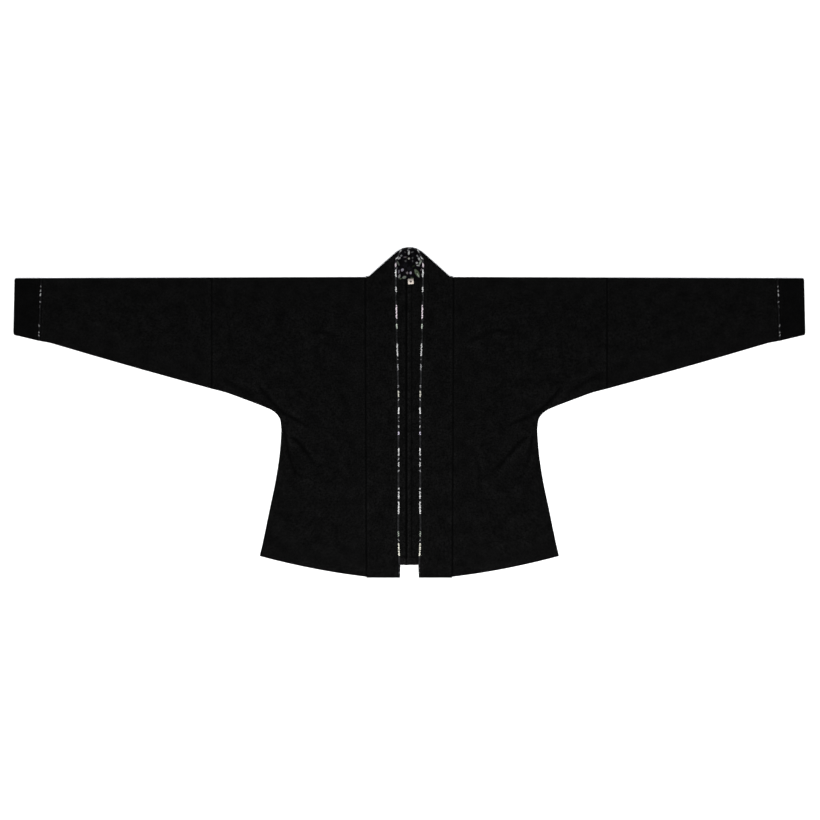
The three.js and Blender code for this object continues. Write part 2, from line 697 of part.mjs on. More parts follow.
// A thin plate from rows of points, whose underside height is worked out by a function.
function plateSkin(rows, thickness, heightAt) {
  const skin = newSkin();
  const gridAt = (rise) => rows.map((row) => row.map(
    (point) => addPoint(skin, point.half, point.down, heightAt(point) + rise)));
  const upper = gridAt(thickness);
  const lower = gridAt(0);
  const last = rows.length - 1;
  const lastPlace = rows[0].length - 1;
  addFaces(skin, upper, true);
  addFaces(skin, lower, false);
  addRim(skin, upper.map((row) => row[0]), lower.map((row) => row[0]));
  addRim(skin, upper[last], lower[last]);
  addRim(skin, upper.map((row) => row[lastPlace]).reverse(), lower.map((row) => row[lastPlace]).reverse());
  addRim(skin, upper[0].slice().reverse(), lower[0].slice().reverse());
  return skin;
}

// Half width of the facing, a little wider than the opening between the folded bands.
const facingSides = [
  { down: -59.8, half: 13.4 },
  { down: -55, half: 18.6 },
  { down: -48, half: 26 },
  { down: -38, half: 32 },
  { down: -20, half: 34 },
  { down: 3.8, half: 34 },
];
const facingHeight = bandThickness + seamGap;

function facingSkin() {
  const placesAcross = 8;
  const rows = facingSides.map((row) => {
    const places = [];
    for (let place = 0; place <= placesAcross; place += 1) {
      places.push({ half: blend(-row.half, row.half, place / placesAcross), down: row.down });
    }
    return places;
  });
  return plateSkin(rows, facingThickness, () => facingHeight);
}

// The label hangs from the neck seam over the facing's edge and lies on the back below it.
const label = { centreHalf: 3.3, centreDown: 8.7, width: 14.4, height: 14, turn: 4 };
const labelHigh = facingHeight + facingThickness + seamGap;
const labelLow = clothWall + reliefRise + seamGap;

function labelSkin() {
  const angle = THREE.MathUtils.degToRad(label.turn);
  const rows = [];
  for (const along of [-0.5, -0.28, -0.06, 0.2, 0.5]) {
    rows.push([-0.5, 0, 0.5].map((across) => ({
      half: label.centreHalf + label.width * across * Math.cos(angle) + label.height * along * Math.sin(angle),
      down: label.centreDown - label.width * across * Math.sin(angle) + label.height * along * Math.cos(angle),
    })));
  }
  return plateSkin(rows, labelThickness, (point) => blend(labelHigh, labelLow, ramp(5.2, 12, point.down)));
}

const jacket = new THREE.Group();

for (const [sideName, side] of [['right', -1], ['left', 1]]) {
  jacket.add(meshFrom(bodySkin(side), `body_${sideName}`, side, clothColour, 0.95));
  jacket.add(meshFrom(sleeveSkin(side), `sleeve_${sideName}`, side, clothColour, 0.95));
  jacket.add(meshFrom(cuffEdgingSkin(side), `cuff_edging_${sideName}`, side, printColour, 0.8));
  jacket.add(meshFrom(cuffSkin(side), `cuff_${sideName}`, side, cuffColour, 0.9));
}
jacket.add(meshFrom(collarBandSkin(), 'collar_band', 1, clothColour, 0.95));
jacket.add(meshFrom(collarEdgingSkin(), 'collar_edging', 1, printColour, 0.8));
jacket.add(meshFrom(facingSkin(), 'collar_facing', 1, printColour, 0.8));
jacket.add(meshFrom(labelSkin(), 'neck_label', 1, labelColour, 0.85));

export default jacket;
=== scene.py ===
import math
import random

import bpy
import numpy as np
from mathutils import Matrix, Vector, noise


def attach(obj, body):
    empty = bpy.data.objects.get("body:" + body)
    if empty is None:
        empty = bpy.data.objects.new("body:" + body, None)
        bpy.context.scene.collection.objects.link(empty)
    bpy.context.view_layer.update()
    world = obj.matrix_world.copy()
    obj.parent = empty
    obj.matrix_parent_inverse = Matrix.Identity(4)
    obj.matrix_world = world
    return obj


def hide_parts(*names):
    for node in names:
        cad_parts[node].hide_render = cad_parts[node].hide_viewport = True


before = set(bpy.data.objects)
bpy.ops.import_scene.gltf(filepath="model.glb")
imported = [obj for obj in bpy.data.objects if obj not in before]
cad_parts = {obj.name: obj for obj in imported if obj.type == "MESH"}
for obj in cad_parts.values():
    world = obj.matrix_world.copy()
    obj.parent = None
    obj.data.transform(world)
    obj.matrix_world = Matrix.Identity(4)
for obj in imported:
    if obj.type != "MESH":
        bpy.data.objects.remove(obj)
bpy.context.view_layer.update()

print("frame loaded:", len(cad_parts), "nodes")

# A hanfu-style jacket laid flat on its back. Tables and plan values are in millimetres and meshes in metres.
# "half" is the distance from the centre line and "down" the distance below the shoulder fold.
mm = 0.001
sides = {"Right": -1, "Left": 1}   # the wearer's

plan = {
    "shoulderPlace": 290.35,      # the shoulder fold's distance from the middle of the frame
    "shoulderRise": 0.9,
    "shoulderFall": 2.8,
    "cuffEndHalf": 851.5,
    "sleeveSeamHalf": 425.0,
    "seamAtNeck": 95.0,
    "seamAtHem": 92.3,
    "neckTurnDown": 26.0,
    "bandBottom": 646.2,
    "frontHem": 644.2,
    "sideCornerHalf": 321.8,
    "sideCornerDown": 599.5,
    "backHem": 618.7,
    "backHemPower": 2.2,
    "droopStart": 4,              # past the back's hem the fronts sink between these two places
    "droopEnd": 14,
}
cloth = {
    "wall": 1.2,
    "layerGap": 0.8,
    "foldReach": 6.0,     # how far a folded edge is rounded on the upper side
    "restReach": 2.0,     # and on the side that rests on the surface
    "innerReach": 5.0,
    "foldInset": 2.0,
    "seamDepth": 0.75,    # how deep a sewn seam sinks in
    "seamReach": 0.9,
    "seamRidge": 0.2,     # the pressed seam allowance beside it
    "puckerHeight": 0.16,
    "puckerLength": 11.0,
    "puckerReach": 7.0,
    "hemRound": 0.42,
    "undulation": 0.32,
    "deepest": -0.5,
}
cuffSeam = (789.2, 794.4)   # half of the seam between sleeve and edging, at the fold and at the underside


def ramp(low, high, value):  # 0 below low, 1 above high and soft between them
    share = np.clip((value - low) / (high - low), 0, 1)
    return share * share * (3 - 2 * share)


def rounded(distance, reach):  # rise of a rounded edge, 0 on the edge and 1 past its reach
    rest = 1 - np.clip(distance / reach, 0, 1)
    return np.sqrt(1 - rest * rest)


def bell(distance, reach):
    return np.exp(-(distance / reach) ** 2)


def pair(first, second):
    return np.stack([first, second], axis=-1)


def softNoise(first, second, size, seed):  # even noise between about -1 and 1
    first, second = np.broadcast_arrays(first, second)
    places = zip(first.ravel() / size, second.ravel() / size)
    return np.array([noise.noise(Vector((a, b, seed))) for a, b in places]).reshape(first.shape)


def smoothPath(points, position):
    # A curve through the points, read at positions counted in points. Works on any number of columns.
    points = np.asarray(points, float)
    ends = np.vstack([2 * points[0] - points[1], points, 2 * points[-1] - points[-2]])
    index = np.clip(np.floor(position).astype(int), 0, len(points) - 2)
    share = (position - index)[:, None]
    before, start, stop, after = (ends[index + step] for step in range(4))
    gaps = [np.maximum(np.linalg.norm(b - a, axis=1, keepdims=True), 1e-6) ** 0.5
            for a, b in ((before, start), (start, stop), (stop, after))]
    leave = (start - before) / gaps[0] - (stop - before) / (gaps[0] + gaps[1]) + (stop - start) / gaps[1]
    reach = (stop - start) / gaps[1] - (after - start) / (gaps[1] + gaps[2]) + (after - stop) / gaps[2]
    leave, reach = leave * gaps[1], reach * gaps[1]
    square = 2 * leave + reach
    return (start + leave * share + (3 * (stop - start) - square) * share ** 2
            + (2 * (start - stop) + leave + reach) * share ** 3)


def edgeSpacing(length, pitch, fine):  # distances from 0 to length, close together at both ends
    fine = np.array(fine, float)
    steps = max(1, round((length - 2 * fine[-1]) / pitch))
    middle = np.linspace(fine[-1], length - fine[-1], steps + 1)[1:-1]
    return np.concatenate([fine, middle, (length - fine)[::-1]])


def foldDown(half):
    return plan["shoulderFall"] * np.abs(half) / plan["cuffEndHalf"] - plan["shoulderRise"]


def backHem(half):
    share = np.abs(half) / plan["sideCornerHalf"]
    return plan["backHem"] - (plan["backHem"] - plan["sideCornerDown"]) * share ** plan["backHemPower"]


def collarSeam(down):
    share = np.clip((down - plan["neckTurnDown"]) / (plan["bandBottom"] - plan["neckTurnDown"]), 0, 1)
    return plan["seamAtNeck"] + (plan["seamAtHem"] - plan["seamAtNeck"]) * share


def hemDroop(half, down):  # the fronts sink to the surface past the shorter back
    hem = backHem(half)
    return (cloth["wall"] + cloth["layerGap"]) * ramp(hem + plan["droopStart"], hem + plan["droopEnd"], down)


# Skins: points, quads and where each corner lies on the cut cloth. A layer is a dictionary with the point
# numbers of its outer and inner faces and its cut.

def newSkin():
    return {"points": [], "wear": [], "flat": [], "quads": [], "cut": [], "count": 0}


def addPoints(skin, half, down, height, wear, flat):
    half, down, height, wear = np.broadcast_arrays(half, down, height, wear)
    skin["points"].append(np.stack([half, plan["shoulderPlace"] - down, height], axis=-1).reshape(-1, 3))
    skin["wear"].append(wear.ravel())
    skin["flat"].append(flat.reshape(-1, 2))
    skin["count"] += half.size
    return skin["count"] - half.size + np.arange(half.size).reshape(half.shape)


def addQuads(skin, corners, cut):
    skin["quads"].append(np.stack(corners, axis=-1).reshape(-1, 4))
    skin["cut"].append(np.stack(cut, axis=-2).reshape(-1, 4, 2))


def addGrid(skin, grid, cut, lookUp):
    first, last = slice(None, -1), slice(1, None)
    around = [(first, first), (last, first), (last, last), (first, last)][::1 if lookUp else -1]
    addQuads(skin, [grid[place] for place in around], [cut[place] for place in around])


def closeEdge(skin, layer, place, turn=1, upper="outer"):
    # Joins both faces along a free edge that is followed with the wall on the left
    lower = "inner" if upper == "outer" else "outer"
    above, below, cut = (layer[key][place][::turn] for key in (upper, lower, "cut"))
    addQuads(skin, [above[1:], above[:-1], below[:-1], below[1:]], [cut[1:], cut[:-1], cut[:-1], cut[1:]])


def makePiece(name, skin, side=1):
    # The mesh of a piece, in metres. Side -1 mirrors it to the wearer's right.
    points, wear, flat, quads, cut = (
        np.concatenate(skin[key]) for key in ("points", "wear", "flat", "quads", "cut"))
    if side < 0:
        points = points * (-1, 1, 1)
        quads, cut = quads[:, ::-1], cut[:, ::-1]
    used, corners = np.unique(quads, return_inverse=True)
    mesh = bpy.data.meshes.new(name)
    mesh.from_pydata((points[used] * mm).tolist(), [], corners.reshape(-1, 4).tolist())
    # This attribute holds painted shade (below 0) and painted highlights (above 0) that the cloth's colour
    # takes
    mesh.attributes.new("wear", "FLOAT", "POINT").data.foreach_set("value", wear[used].astype(np.float32))
    mesh.uv_layers.new(name="cut").data.foreach_set("uv", (cut * mm).ravel().astype(np.float32))
    mesh.shade_smooth()
    piece = bpy.data.objects.new(name, mesh)
    bpy.context.scene.collection.objects.link(piece)
    print(name, len(mesh.polygons) * 2, "triangles")
    return piece, flat[used]


# Folds and swells of the upper layer

swells = [  # half, down, reach across, reach down, rise
    (215, 130, 95, 80, 1.8), (345, 130, 80, 75, 1.9), (300, 235, 75, 42, 2.3), (205, 300, 60, 60, 2.2),
    (215, 400, 62, 75, 2.9), (205, 540, 90, 60, 1.8), (500, 105, 90, 60, 2.2), (640, 88, 90, 48, 2.0),
    (745, 72, 50, 38, 1.6),
]
creases = {  # depth, reach of the soft trough, reach of its sharp core, where it starts to fade, and its path
    -1: [
        (3.2, 9, 3.2, 0.62,
         [(325, 232), (304, 257), (285, 279), (276, 287), (248, 303), (220, 318), (196, 339)]),
        (2.3, 9, 3.4, 0.55, [(257, 341), (240, 352), (224, 373), (205, 398), (171, 406)]),
        (2.0, 8, 3.0, 0.55, [(270, 323), (262, 366), (251, 406), (237, 425), (211, 432)]),
        (0.9, 8, 3.5, 0.3, [(272, 416), (254, 444), (235, 462)]),
        (1.6, 10, 5, 0.7, [(402, 217), (378, 231), (350, 246), (321, 264)]),
        (2.1, 11, 3.6, 0.5, [(211, 115), (173, 120), (143, 133)]),
        (1.3, 12, 5, 0.4, [(147, 247), (132, 285), (119, 318)]),
        (1.2, 10, 4, 0.5, [(134, 382), (130, 419)]),
        (0.9, 10, 6, 0.6, [(179, 505), (177, 524)]),
    ],
    1: [
        (2.9, 9, 3.2, 0.6, [(328, 234), (305, 262), (283, 283), (257, 298), (219, 315), (195, 333)]),
        (2.4, 9, 3.4, 0.6, [(253, 341), (236, 356), (216, 378), (188, 408), (169, 414)]),
        (1.9, 8, 3.2, 0.6, [(266, 337), (259, 371), (251, 406), (240, 427)]),
        (0.8, 8, 3.5, 0.3, [(270, 423), (253, 449), (236, 466)]),
        (1.7, 10, 5, 0.7, [(414, 206), (380, 223), (354, 240), (328, 255)]),
        (2.7, 11, 4, 0.6, [(215, 119), (190, 114), (160, 123), (135, 135), (106, 144)]),
        (1.5, 11, 4, 0.5, [(134, 362), (146, 395), (150, 434), (146, 466)]),
        (0.9, 10, 4.5, 0.5, [(152, 451), (167, 485), (182, 520)]),
        (1.1, 8, 4, 0.4, [(274, 141), (292, 158)]),
    ],
}
bandCrease = (0.8, 9, 4, 0.6, [(44, 468), (59, 490), (74, 507)])


def creaseField(crease, half, down):  # distance from the crease, signed by the side, and its strength there
    fade, path = crease[3:]
    stretches = 4 * (len(path) - 1)
    route = smoothPath(path, np.linspace(0, len(path) - 1, stretches + 1))
    nearest, along = np.full(half.shape, 1e6), np.zeros(half.shape)
    for index, (start, stop) in enumerate(zip(route[:-1], route[1:])):
        way = stop - start
        share = np.clip(((half - start[0]) * way[0] + (down - start[1]) * way[1]) / way.dot(way), 0, 1)
        across, below = half - start[0] - share * way[0], down - start[1] - share * way[1]
        distance = np.hypot(across, below)
        closer = distance < np.abs(nearest)
        nearest = np.where(closer, np.where(across * way[1] - below * way[0] > 0, 1, -1) * distance, nearest)
        along = np.where(closer, (index + share) / stretches, along)
    return nearest, ramp(0, 0.1, along + 0.04) * (1 - 0.85 * ramp(fade, 1, along))


def creaseRelief(crease, half, down):
    depth, reach, core = crease[:3]
    nearest, strength = creaseField(crease, half, down)
    trough = 0.5 * bell(nearest, reach) + 0.5 * bell(nearest, core)
    ridges = 0.34 * bell(nearest - 2.6 * core, 1.7 * core) + 0.16 * bell(nearest + 2.4 * core, 1.6 * core)
    return depth * strength * (ridges - trough)


def paintedCreaseShading(side, half, down):  # painted shade in the trough and painted highlights on the ridges
    wear = np.zeros(half.shape)
    for crease in creases[side]:
        depth, _, core = crease[:3]
        nearest, strength = creaseField(crease, half, down)
        ridges = bell(nearest - 2.6 * core, 1.5 * core) + 0.6 * bell(nearest + 2.4 * core, 1.3 * core)
        wear += min(depth / 2.4, 1) * strength * (0.5 * ridges - 1.1 * bell(nearest, 1.1 * core))
    return wear


def underCreases(side, half, down):  # shallow folds in the layer that rests, pressed flat all round
    relief = sum(creaseRelief(crease, half + 9, down + 6) for crease in creases[-side])
    return np.clip(-0.2 * relief, 0, 0.5)


def liftOf(side, half, down):
    lift = sum(rise * bell((half - at) / across, 1) * bell((down - low) / below, 1)
               for at, low, across, below, rise in swells)
    lift = lift + sum(creaseRelief(crease, half, down) for crease in creases[side])
    lift = lift + cloth["undulation"] * softNoise(half, down, 55, 3 + side)
    lift = lift + 0.3 * cloth["undulation"] * softNoise(half, down, 17, 9 + side)
    return np.maximum(lift, cloth["deepest"])


def seamShape(distance, along, ridgeSide, seed):  # dip, ridge and small puckers beside a sewn seam
    dip = cloth["seamDepth"] * bell(distance, cloth["seamReach"])
    ridge = ridgeSide * cloth["seamRidge"] * bell(distance - 3.4, 1.9)
    pucker = cloth["puckerHeight"] * softNoise(along, seed, cloth["puckerLength"], seed + 0.5)
    return ridge + pucker * bell(distance, cloth["puckerReach"]) - dip


def paintedSeamShading(distance):  # painted shade in the seam and a painted highlight on the ridge beside it
    return 0.55 * bell(distance - 4.2, 1.8) - 1.15 * bell(distance, 2.0)


# Flattened tubes: rings from the shoulder fold to the underarm, with a front and a back layer

frontEnds = [0, 0.12, 0.45, 1.1, 2.1, 3.6, 6.5]
backEnds = [0, 0.12, 0.45, 1.1, 2.4]


def spacedPlaces(length, ends, middleSteps, crowding):
    share = 1 - (1 - np.arange(1, middleSteps) / middleSteps) ** crowding
    near = np.broadcast_to(np.array(ends), (len(length), len(ends)))
    return np.hstack([near, ends[-1] + (length - 2 * ends[-1]) * share, length - near[:, ::-1]])


def ringPlan(rings, distance, length, prefix):
    share = distance / length
    startDown, bow = rings[prefix + "Down"][:, None], rings[prefix + "Bow"][:, None]
    half = rings["startHalf"][:, None] * (1 - share) + rings["endHalf"][:, None] * share
    return half, startDown * (1 - share) + rings["endDown"][:, None] * share + 4 * bow * share * (1 - share)


def insideDistance(distance, length, joined):
    start = cloth["foldInset"] * np.exp(-distance / 3) * joined[:, None]
    return distance + start - cloth["foldInset"] * np.exp(-(length - distance) / 3)


def edgeShare(half, down, toEnd, inset, reach):
    return rounded(down - foldDown(half) - inset, reach) * rounded(toEnd - inset, reach)


def addLayers(skin, rings, side, size, shape, wear=None, relief=None, flat=pair):
    # Both layers of a tube, joined along its fold and its underside. The functions give the shape of the
    # upper side, its painted shade and highlights, the relief on the inside of the back and the places that a
    # print uses.
    joined, rim = rings["joined"], rings["rim"][:, None]
    middle, halfGap = size["wall"] + cloth["layerGap"] / 2, cloth["layerGap"] / 2
    layers = {}
    for name, prefix, ends, crowding in (("front", "start", frontEnds, size["crowding"]),
                                         ("back", "back", backEnds, 1)):
        front = name == "front"
        length = np.hypot(rings["endHalf"] - rings["startHalf"], rings["endDown"] - rings[prefix + "Down"])
        length = length[:, None]
        distance = spacedPlaces(length, ends, size[name + "Steps"], crowding)
        half, down = ringPlan(rings, distance, length, prefix)
        toEnd = length - distance
        outerHalf, outerDown = half.copy(), down.copy()
        outerHalf[:, -1:], outerDown[:, -1:] = ringPlan(
            rings, distance[:, -1:] - size["sideGroove"], length, prefix)
        inside = insideDistance(distance, length, joined)
        innerHalf, innerDown = ringPlan(rings, inside, length, prefix)
        innerShare = edgeShare(innerHalf, innerDown, length - inside, cloth["foldInset"], cloth["innerReach"])
        if front:
            full = middle + liftOf(side, half, down) + shape(side, half, down)
            share = edgeShare(half, down, toEnd, 0, cloth["foldReach"])
            outer = np.maximum(middle + full * share - hemDroop(half, down) - rim, 0)
            full = halfGap + liftOf(side, innerHalf, innerDown)
            inner = np.maximum(middle + full * innerShare - hemDroop(innerHalf, innerDown), 0) + rim
        else:
            folds = underCreases(side, half, down) * ramp(4, 14, toEnd) * ramp(3, 12, distance)
            outer = middle - middle * edgeShare(half, down, toEnd, 0, cloth["restReach"]) + rim + folds
            raised = relief(side, innerHalf, innerDown) * ramp(0.9, 1, innerShare) if relief else 0
            inner = middle - halfGap * innerShare + raised - rim
        outer[:, -1] = middle
        # Painted shade along the folded edge at the side and underarm, with the painted shade and highlights
        # of seams and creases
        upperPaintedShading = (wear(half, down) if wear else 0) - 0.8 * bell(toEnd, 1.0)
        upperPaintedShading = upperPaintedShading + (paintedCreaseShading(side, half, down) if front else 0)
        layers[name] = {
            "outer": addPoints(skin, outerHalf, outerDown, outer, upperPaintedShading, flat(half, down)),
            "inner": addPoints(skin, innerHalf, innerDown, inner, 0, flat(innerHalf, innerDown)),
            "cut": pair(half, down if front else -down),
        }
    for face in ("outer", "inner"):
        front, back = layers["front"][face], layers["back"][face]
        back[:, -1] = front[:, -1]
        back[joined, 0] = front[joined, 0]
        addGrid(skin, front, layers["front"]["cut"], face == "outer")
        addGrid(skin, back, layers["back"]["cut"], face == "inner")
    return layers


# Body: front and back of one side in one piece, folded at the shoulder

body = {
    "wall": cloth["wall"],
    "pitch": 3.6,
    "frontSteps": 62,
    "backSteps": 26,
    "crowding": 1.3,
    "sideGroove": 0.42,
    "neckFine": [0.3, 0.8, 1.5, 2.4, 3.6, 5, 7],
    "hemFine": [0, 0.12, 0.4, 0.9, 1.8, 3.2],
    "frontBow": 4.4,
    "backBow": 2.8,
    "bowStart": 330.0,
    "turnUp": 16.2,       # turned-up hem on the inside of the back
    "foldRise": 0.5,
    "allowance": {-1: 6.6, 1: 4.6},
    "sag": {-1: 0.8, 1: 0.0},   # how far the allowance pushes the back hem out
    "curl": 0.3,
}
sleeveSideRows = [  # fold half, underarm half, underarm down
    (425, 425, 239.9), (372, 393, 248.4), (318, 353.5, 262.8), (262, 318.6, 276), (205, 296.4, 285.8),
    (148, 285.6, 294),
]
seamSideRows = [  # seam down, side half, side down
    (0, 280.9, 300.2), (7, 279.8, 302.1), (85, 277.6, 308), (175, 276.4, 316.4), (260, 275.5, 328.2),
    (330, 276.5, 350), (385, 279.5, 384), (450, 287.6, 437), (520, 300.5, 499), (580, 312.1, 555.6),
    (617, 318.3, 584), (631, 320.4, 592.3), (644.2, 321.8, 599.5),
]
backNeckline = ([0, 74, 88, 94.8], [5.3, 5.3, 5.0, 2.5])   # half and down


def bodyRings():
    folds = np.array([row[0] for row in sleeveSideRows] + [plan["seamAtNeck"]])
    seams = np.array([row[0] for row in seamSideRows])
    near, fine = body["neckFine"], body["hemFine"]
    foldPlaces = edgeSpacing(folds[0] - folds[-1], body["pitch"], fine)
    toHem = edgeSpacing(seams[-1] - near[-1], body["pitch"], fine)[len(fine):] + near[-1]
    seamPlaces = np.concatenate([near, toHem])
    onFold = np.interp(foldPlaces, folds[0] - folds, np.arange(len(folds)))
    onSeam = len(sleeveSideRows) + np.interp(seamPlaces, seams, np.arange(len(seams)))
    position = np.concatenate([onFold, onSeam])
    joined = np.arange(len(position)) < len(onFold)
    side = smoothPath([row[1:] for row in sleeveSideRows + seamSideRows], position)
    seamDown = np.concatenate([np.zeros(len(onFold)), seamPlaces])
    startHalf = np.where(joined, folds[0] - np.concatenate([foldPlaces, seamPlaces]), collarSeam(seamDown))
    startDown = np.where(joined, foldDown(startHalf), seamDown)
    hemShare = np.clip((seamDown - body["bowStart"]) / (plan["frontHem"] - body["bowStart"]), 0, 1)
    return {
        "startHalf": startHalf, "startDown": startDown, "endHalf": side[:, 0], "endDown": side[:, 1],
        "startBow": body["frontBow"] * hemShare, "backBow": body["backBow"] * hemShare, "joined": joined,
        "backDown": startDown - (plan["frontHem"] - backHem(startHalf)) * hemShare,
        "rim": cloth["hemRound"] * (1 - rounded(plan["frontHem"] - seamDown, 1.1)), "neck": len(onFold) - 1,
    }


def sleeveSeamDistance(half):
    return np.abs(half - plan["sleeveSeamHalf"])


def collarSeamDistance(half, down):
    return np.abs(half - collarSeam(down))


def bodyShape(side, half, down):
    shape = seamShape(sleeveSeamDistance(half), down, 1, 20 + side)
    return shape + np.where(down > 3, seamShape(collarSeamDistance(half, down), down, 0.6, 30 + side), 0)


# Painted shade in the sleeve and collar seams, with painted highlights beside them
def bodyPaintedShading(half, down):
    return paintedSeamShading(sleeveSeamDistance(half)) + paintedSeamShading(collarSeamDistance(half, down)) * (down > 3)


def insideRelief(side, half, down):
    # Pressed-open allowance at the centre back and the turned-up hem, one on the other
    wide = body["allowance"][side]
    lifted = 0.5 + 0.5 * softNoise(down, side, 46, 5)
    curl = body["curl"] * lifted * ramp(wide - 2.6, wide, half) * ramp(30, 80, down)
    allowance = (body["foldRise"] + curl) * (1 - ramp(wide, wide + 0.14, half)) - 0.4 * bell(half, 0.5)
    upper = backHem(half) - body["turnUp"] + 0.5 * softNoise(half, 7, 40, 2)
    turnUp = (body["foldRise"] + 0.18 * bell(down - upper, 1.4)) * ramp(upper - 0.14, upper, down)
    return allowance + turnUp - 0.12 * bell(half - wide - 0.5, 0.5) - 0.1 * bell(down - upper + 0.6, 0.5)


def insidePaintedShading(side, half, down):
    # Painted highlight beside the centre seam, painted shadow past the allowance's edge and above the
    # turn-up's edge, and painted highlights in patches on the turn-up
    wide = body["allowance"][side]
    upper = backHem(half) - body["turnUp"]
    wear = 1.7 * bell(half - 1.2, 1.5) - 0.7 * bell(half, 0.5) - 2.3 * bell(half - wide - 0.1, 1.7)
    wear = (wear + 0.5 * bell(half - wide - 5, 3)) * (1.0 if side < 0 else 0.35)
    patches = 0.6 + 0.9 * ramp(-1, 0.6, softNoise(half, down, 9, 6)) + 0.9 * bell(half - 2, 9)
    return wear - 1.2 * bell(down - upper + 1.0, 1.0) + patches * ramp(upper, upper + 2, down)


def backColumns(side):  # close together at the centre seam and at the allowance's edge
    wide = body["allowance"][side]
    seam = [0, 0.3, 0.7, 1.2, 1.9]
    edge = [wide + step for step in (-2.3, -1.4, -0.6, -0.15, 0, 0.14, 0.4, 0.9, 1.8)]
    rest = list(np.arange(wide + 4, 30, 2.6)) + [33, 38, 44, 51, 59, 67, 74, 81, 88, 94.8]
    return np.array(seam + edge + rest)[::-1]


def addBackMiddle(skin, rings, back, side):  # the back goes on from the collar seam's line to the centre back
    first = rings["neck"]
    halves = backColumns(side)[None, :]
    start, rim = rings["backDown"][first:, None], rings["rim"][first:, None]
    neckShift = np.clip(1 - start / 80, 0, 1) * np.interp(halves, *backNeckline)
    hemShift = backHem(0) - backHem(rings["startHalf"][first:, None])
    down = start + neckShift + hemShift * start / plan["backHem"]
    down = down + body["sag"][side] * bell(halves - 6, 4) * (start / plan["backHem"]) ** 12
    half = np.broadcast_to(halves, down.shape)
    # Painted shade and highlights inside the back, at the centre seam and the turn-up
    wear = insidePaintedShading(side, half, down)
    height = cloth["wall"] + insideRelief(side, half, down) - rim
    middle = {
        "outer": addPoints(skin, half, down, rim + 0.5 * bell(half, 0.6), wear, pair(half, down)),
        "inner": addPoints(skin, half, down, height, wear, pair(half, down)),
        "cut": pair(half, -down),
    }
    middle = {key: np.hstack([part[:, ::-1], back[key][first:, :1]]) for key, part in middle.items()}
    addGrid(skin, middle["inner"], middle["cut"], True)
    addGrid(skin, middle["outer"], middle["cut"], False)
    return middle


def bodySkin(side):
    skin, rings = newSkin(), bodyRings()
    layers = addLayers(skin, rings, side, body, bodyShape, bodyPaintedShading, insideRelief)
    front, back = layers["front"], layers["back"]
    middle = addBackMiddle(skin, rings, back, side)
    hem = {key: np.concatenate([middle[key][-1], back[key][-1][1:]]) for key in middle}
    closeEdge(skin, front, 0, -1)
    closeEdge(skin, back, 0, -1, "inner")
    closeEdge(skin, front, (slice(rings["neck"], None), 0))
    closeEdge(skin, middle, 0, -1, "inner")
    closeEdge(skin, middle, (slice(None), 0), 1, "inner")
    closeEdge(skin, hem, slice(None), 1, "inner")
    closeEdge(skin, front, -1)
    return skin


# Sleeve, the printed edging at its end and the cuff

sleeve = {
    "wall": cloth["wall"],
    "seamLength": 136,    # down to the underside at the seam of sleeve and edging
    "pitch": 4.2,
    "frontSteps": 44,
    "backSteps": 20,
    "crowding": 1.1,
    "sideGroove": 0.4,
}
cuffEdging = {"wall": 1.8, "width": 4.0, "frontSteps": 90, "backSteps": 40, "crowding": 1, "sideGroove": 0.3}
cuff = {
    "wall": 1.6,
    "end": (849.0, 851.5),      # half of its mouth, at the fold and at the underside
    "mouthLength": 124,
    "underlap": 0.3,            # how far it starts past the edging's width
    "corner": 5.0,
    "cornerSquash": 0.8,
    "mouthRound": 0.5,
    "pitch": 4.0,
    "frontSteps": 30,
    "backSteps": 14,
    "crowding": 1,
    "sideGroove": 0.4,
}
sleeveUnderside = ([425, 493, 560, 610, 680, 740, 773, 798, 841, 851.5],   # half and down
                   [239.9, 221.3, 202.7, 188.5, 168.4, 150.7, 141.1, 136.6, 126.2, 124.4])


def tubeRings(fold, under, corner=0.0, rim=0.0):  # from places listed away from the body
    fold, under, corner, rim = (part[::-1] for part in np.broadcast_arrays(fold, under, corner, rim))
    startDown, straight = foldDown(fold) + corner, np.zeros(len(fold))
    return {"startHalf": fold, "startDown": startDown, "backDown": startDown, "endHalf": under,
            "endDown": np.interp(under, *sleeveUnderside) - corner, "startBow": straight, "backBow": straight,
            "joined": straight == 0, "rim": rim}


def tubeSkin(side, rings, size, shape, wear=None, flat=pair):
    skin = newSkin()
    layers = addLayers(skin, rings, side, size, shape, wear, flat=flat)
    for row, turn in ((0, -1), (-1, 1)):
        closeEdge(skin, layers["front"], row, turn)
        closeEdge(skin, layers["back"], row, turn, "inner")
    return skin


def pastCuffSeam(half, down):  # distance from the seam of sleeve and edging, positive towards the cuff
    return half - cuffSeam[0] - (cuffSeam[1] - cuffSeam[0]) * np.clip(down / sleeve["seamLength"], 0, 1)


def sleeveShape(side, half, down):
    shape = seamShape(sleeveSeamDistance(half), down, -0.4, 20 + side)
    return shape + seamShape(np.abs(pastCuffSeam(half, down)), down, 0.8, 50 + side)


# Painted shade in the sleeve's two seams, with painted highlights beside them
def sleevePaintedShading(half, down):
    return paintedSeamShading(sleeveSeamDistance(half)) + paintedSeamShading(np.abs(pastCuffSeam(half, down)))


def sleeveSkin(side):
    start = plan["sleeveSeamHalf"]
    fold = start + edgeSpacing(cuffSeam[0] - start, sleeve["pitch"], body["hemFine"])
    under = start + (cuffSeam[1] - start) * ((fold - start) / (fold[-1] - start))
    return tubeSkin(side, tubeRings(fold, under), sleeve, sleeveShape, sleevePaintedShading)


def edgingShape(side, half, down):  # a small roll across the strip
    across = np.clip(pastCuffSeam(half, down) / cuffEdging["width"], 0, 1)
    return -0.75 * (1 - np.sqrt(np.clip(4 * across * (1 - across), 0, 1)))


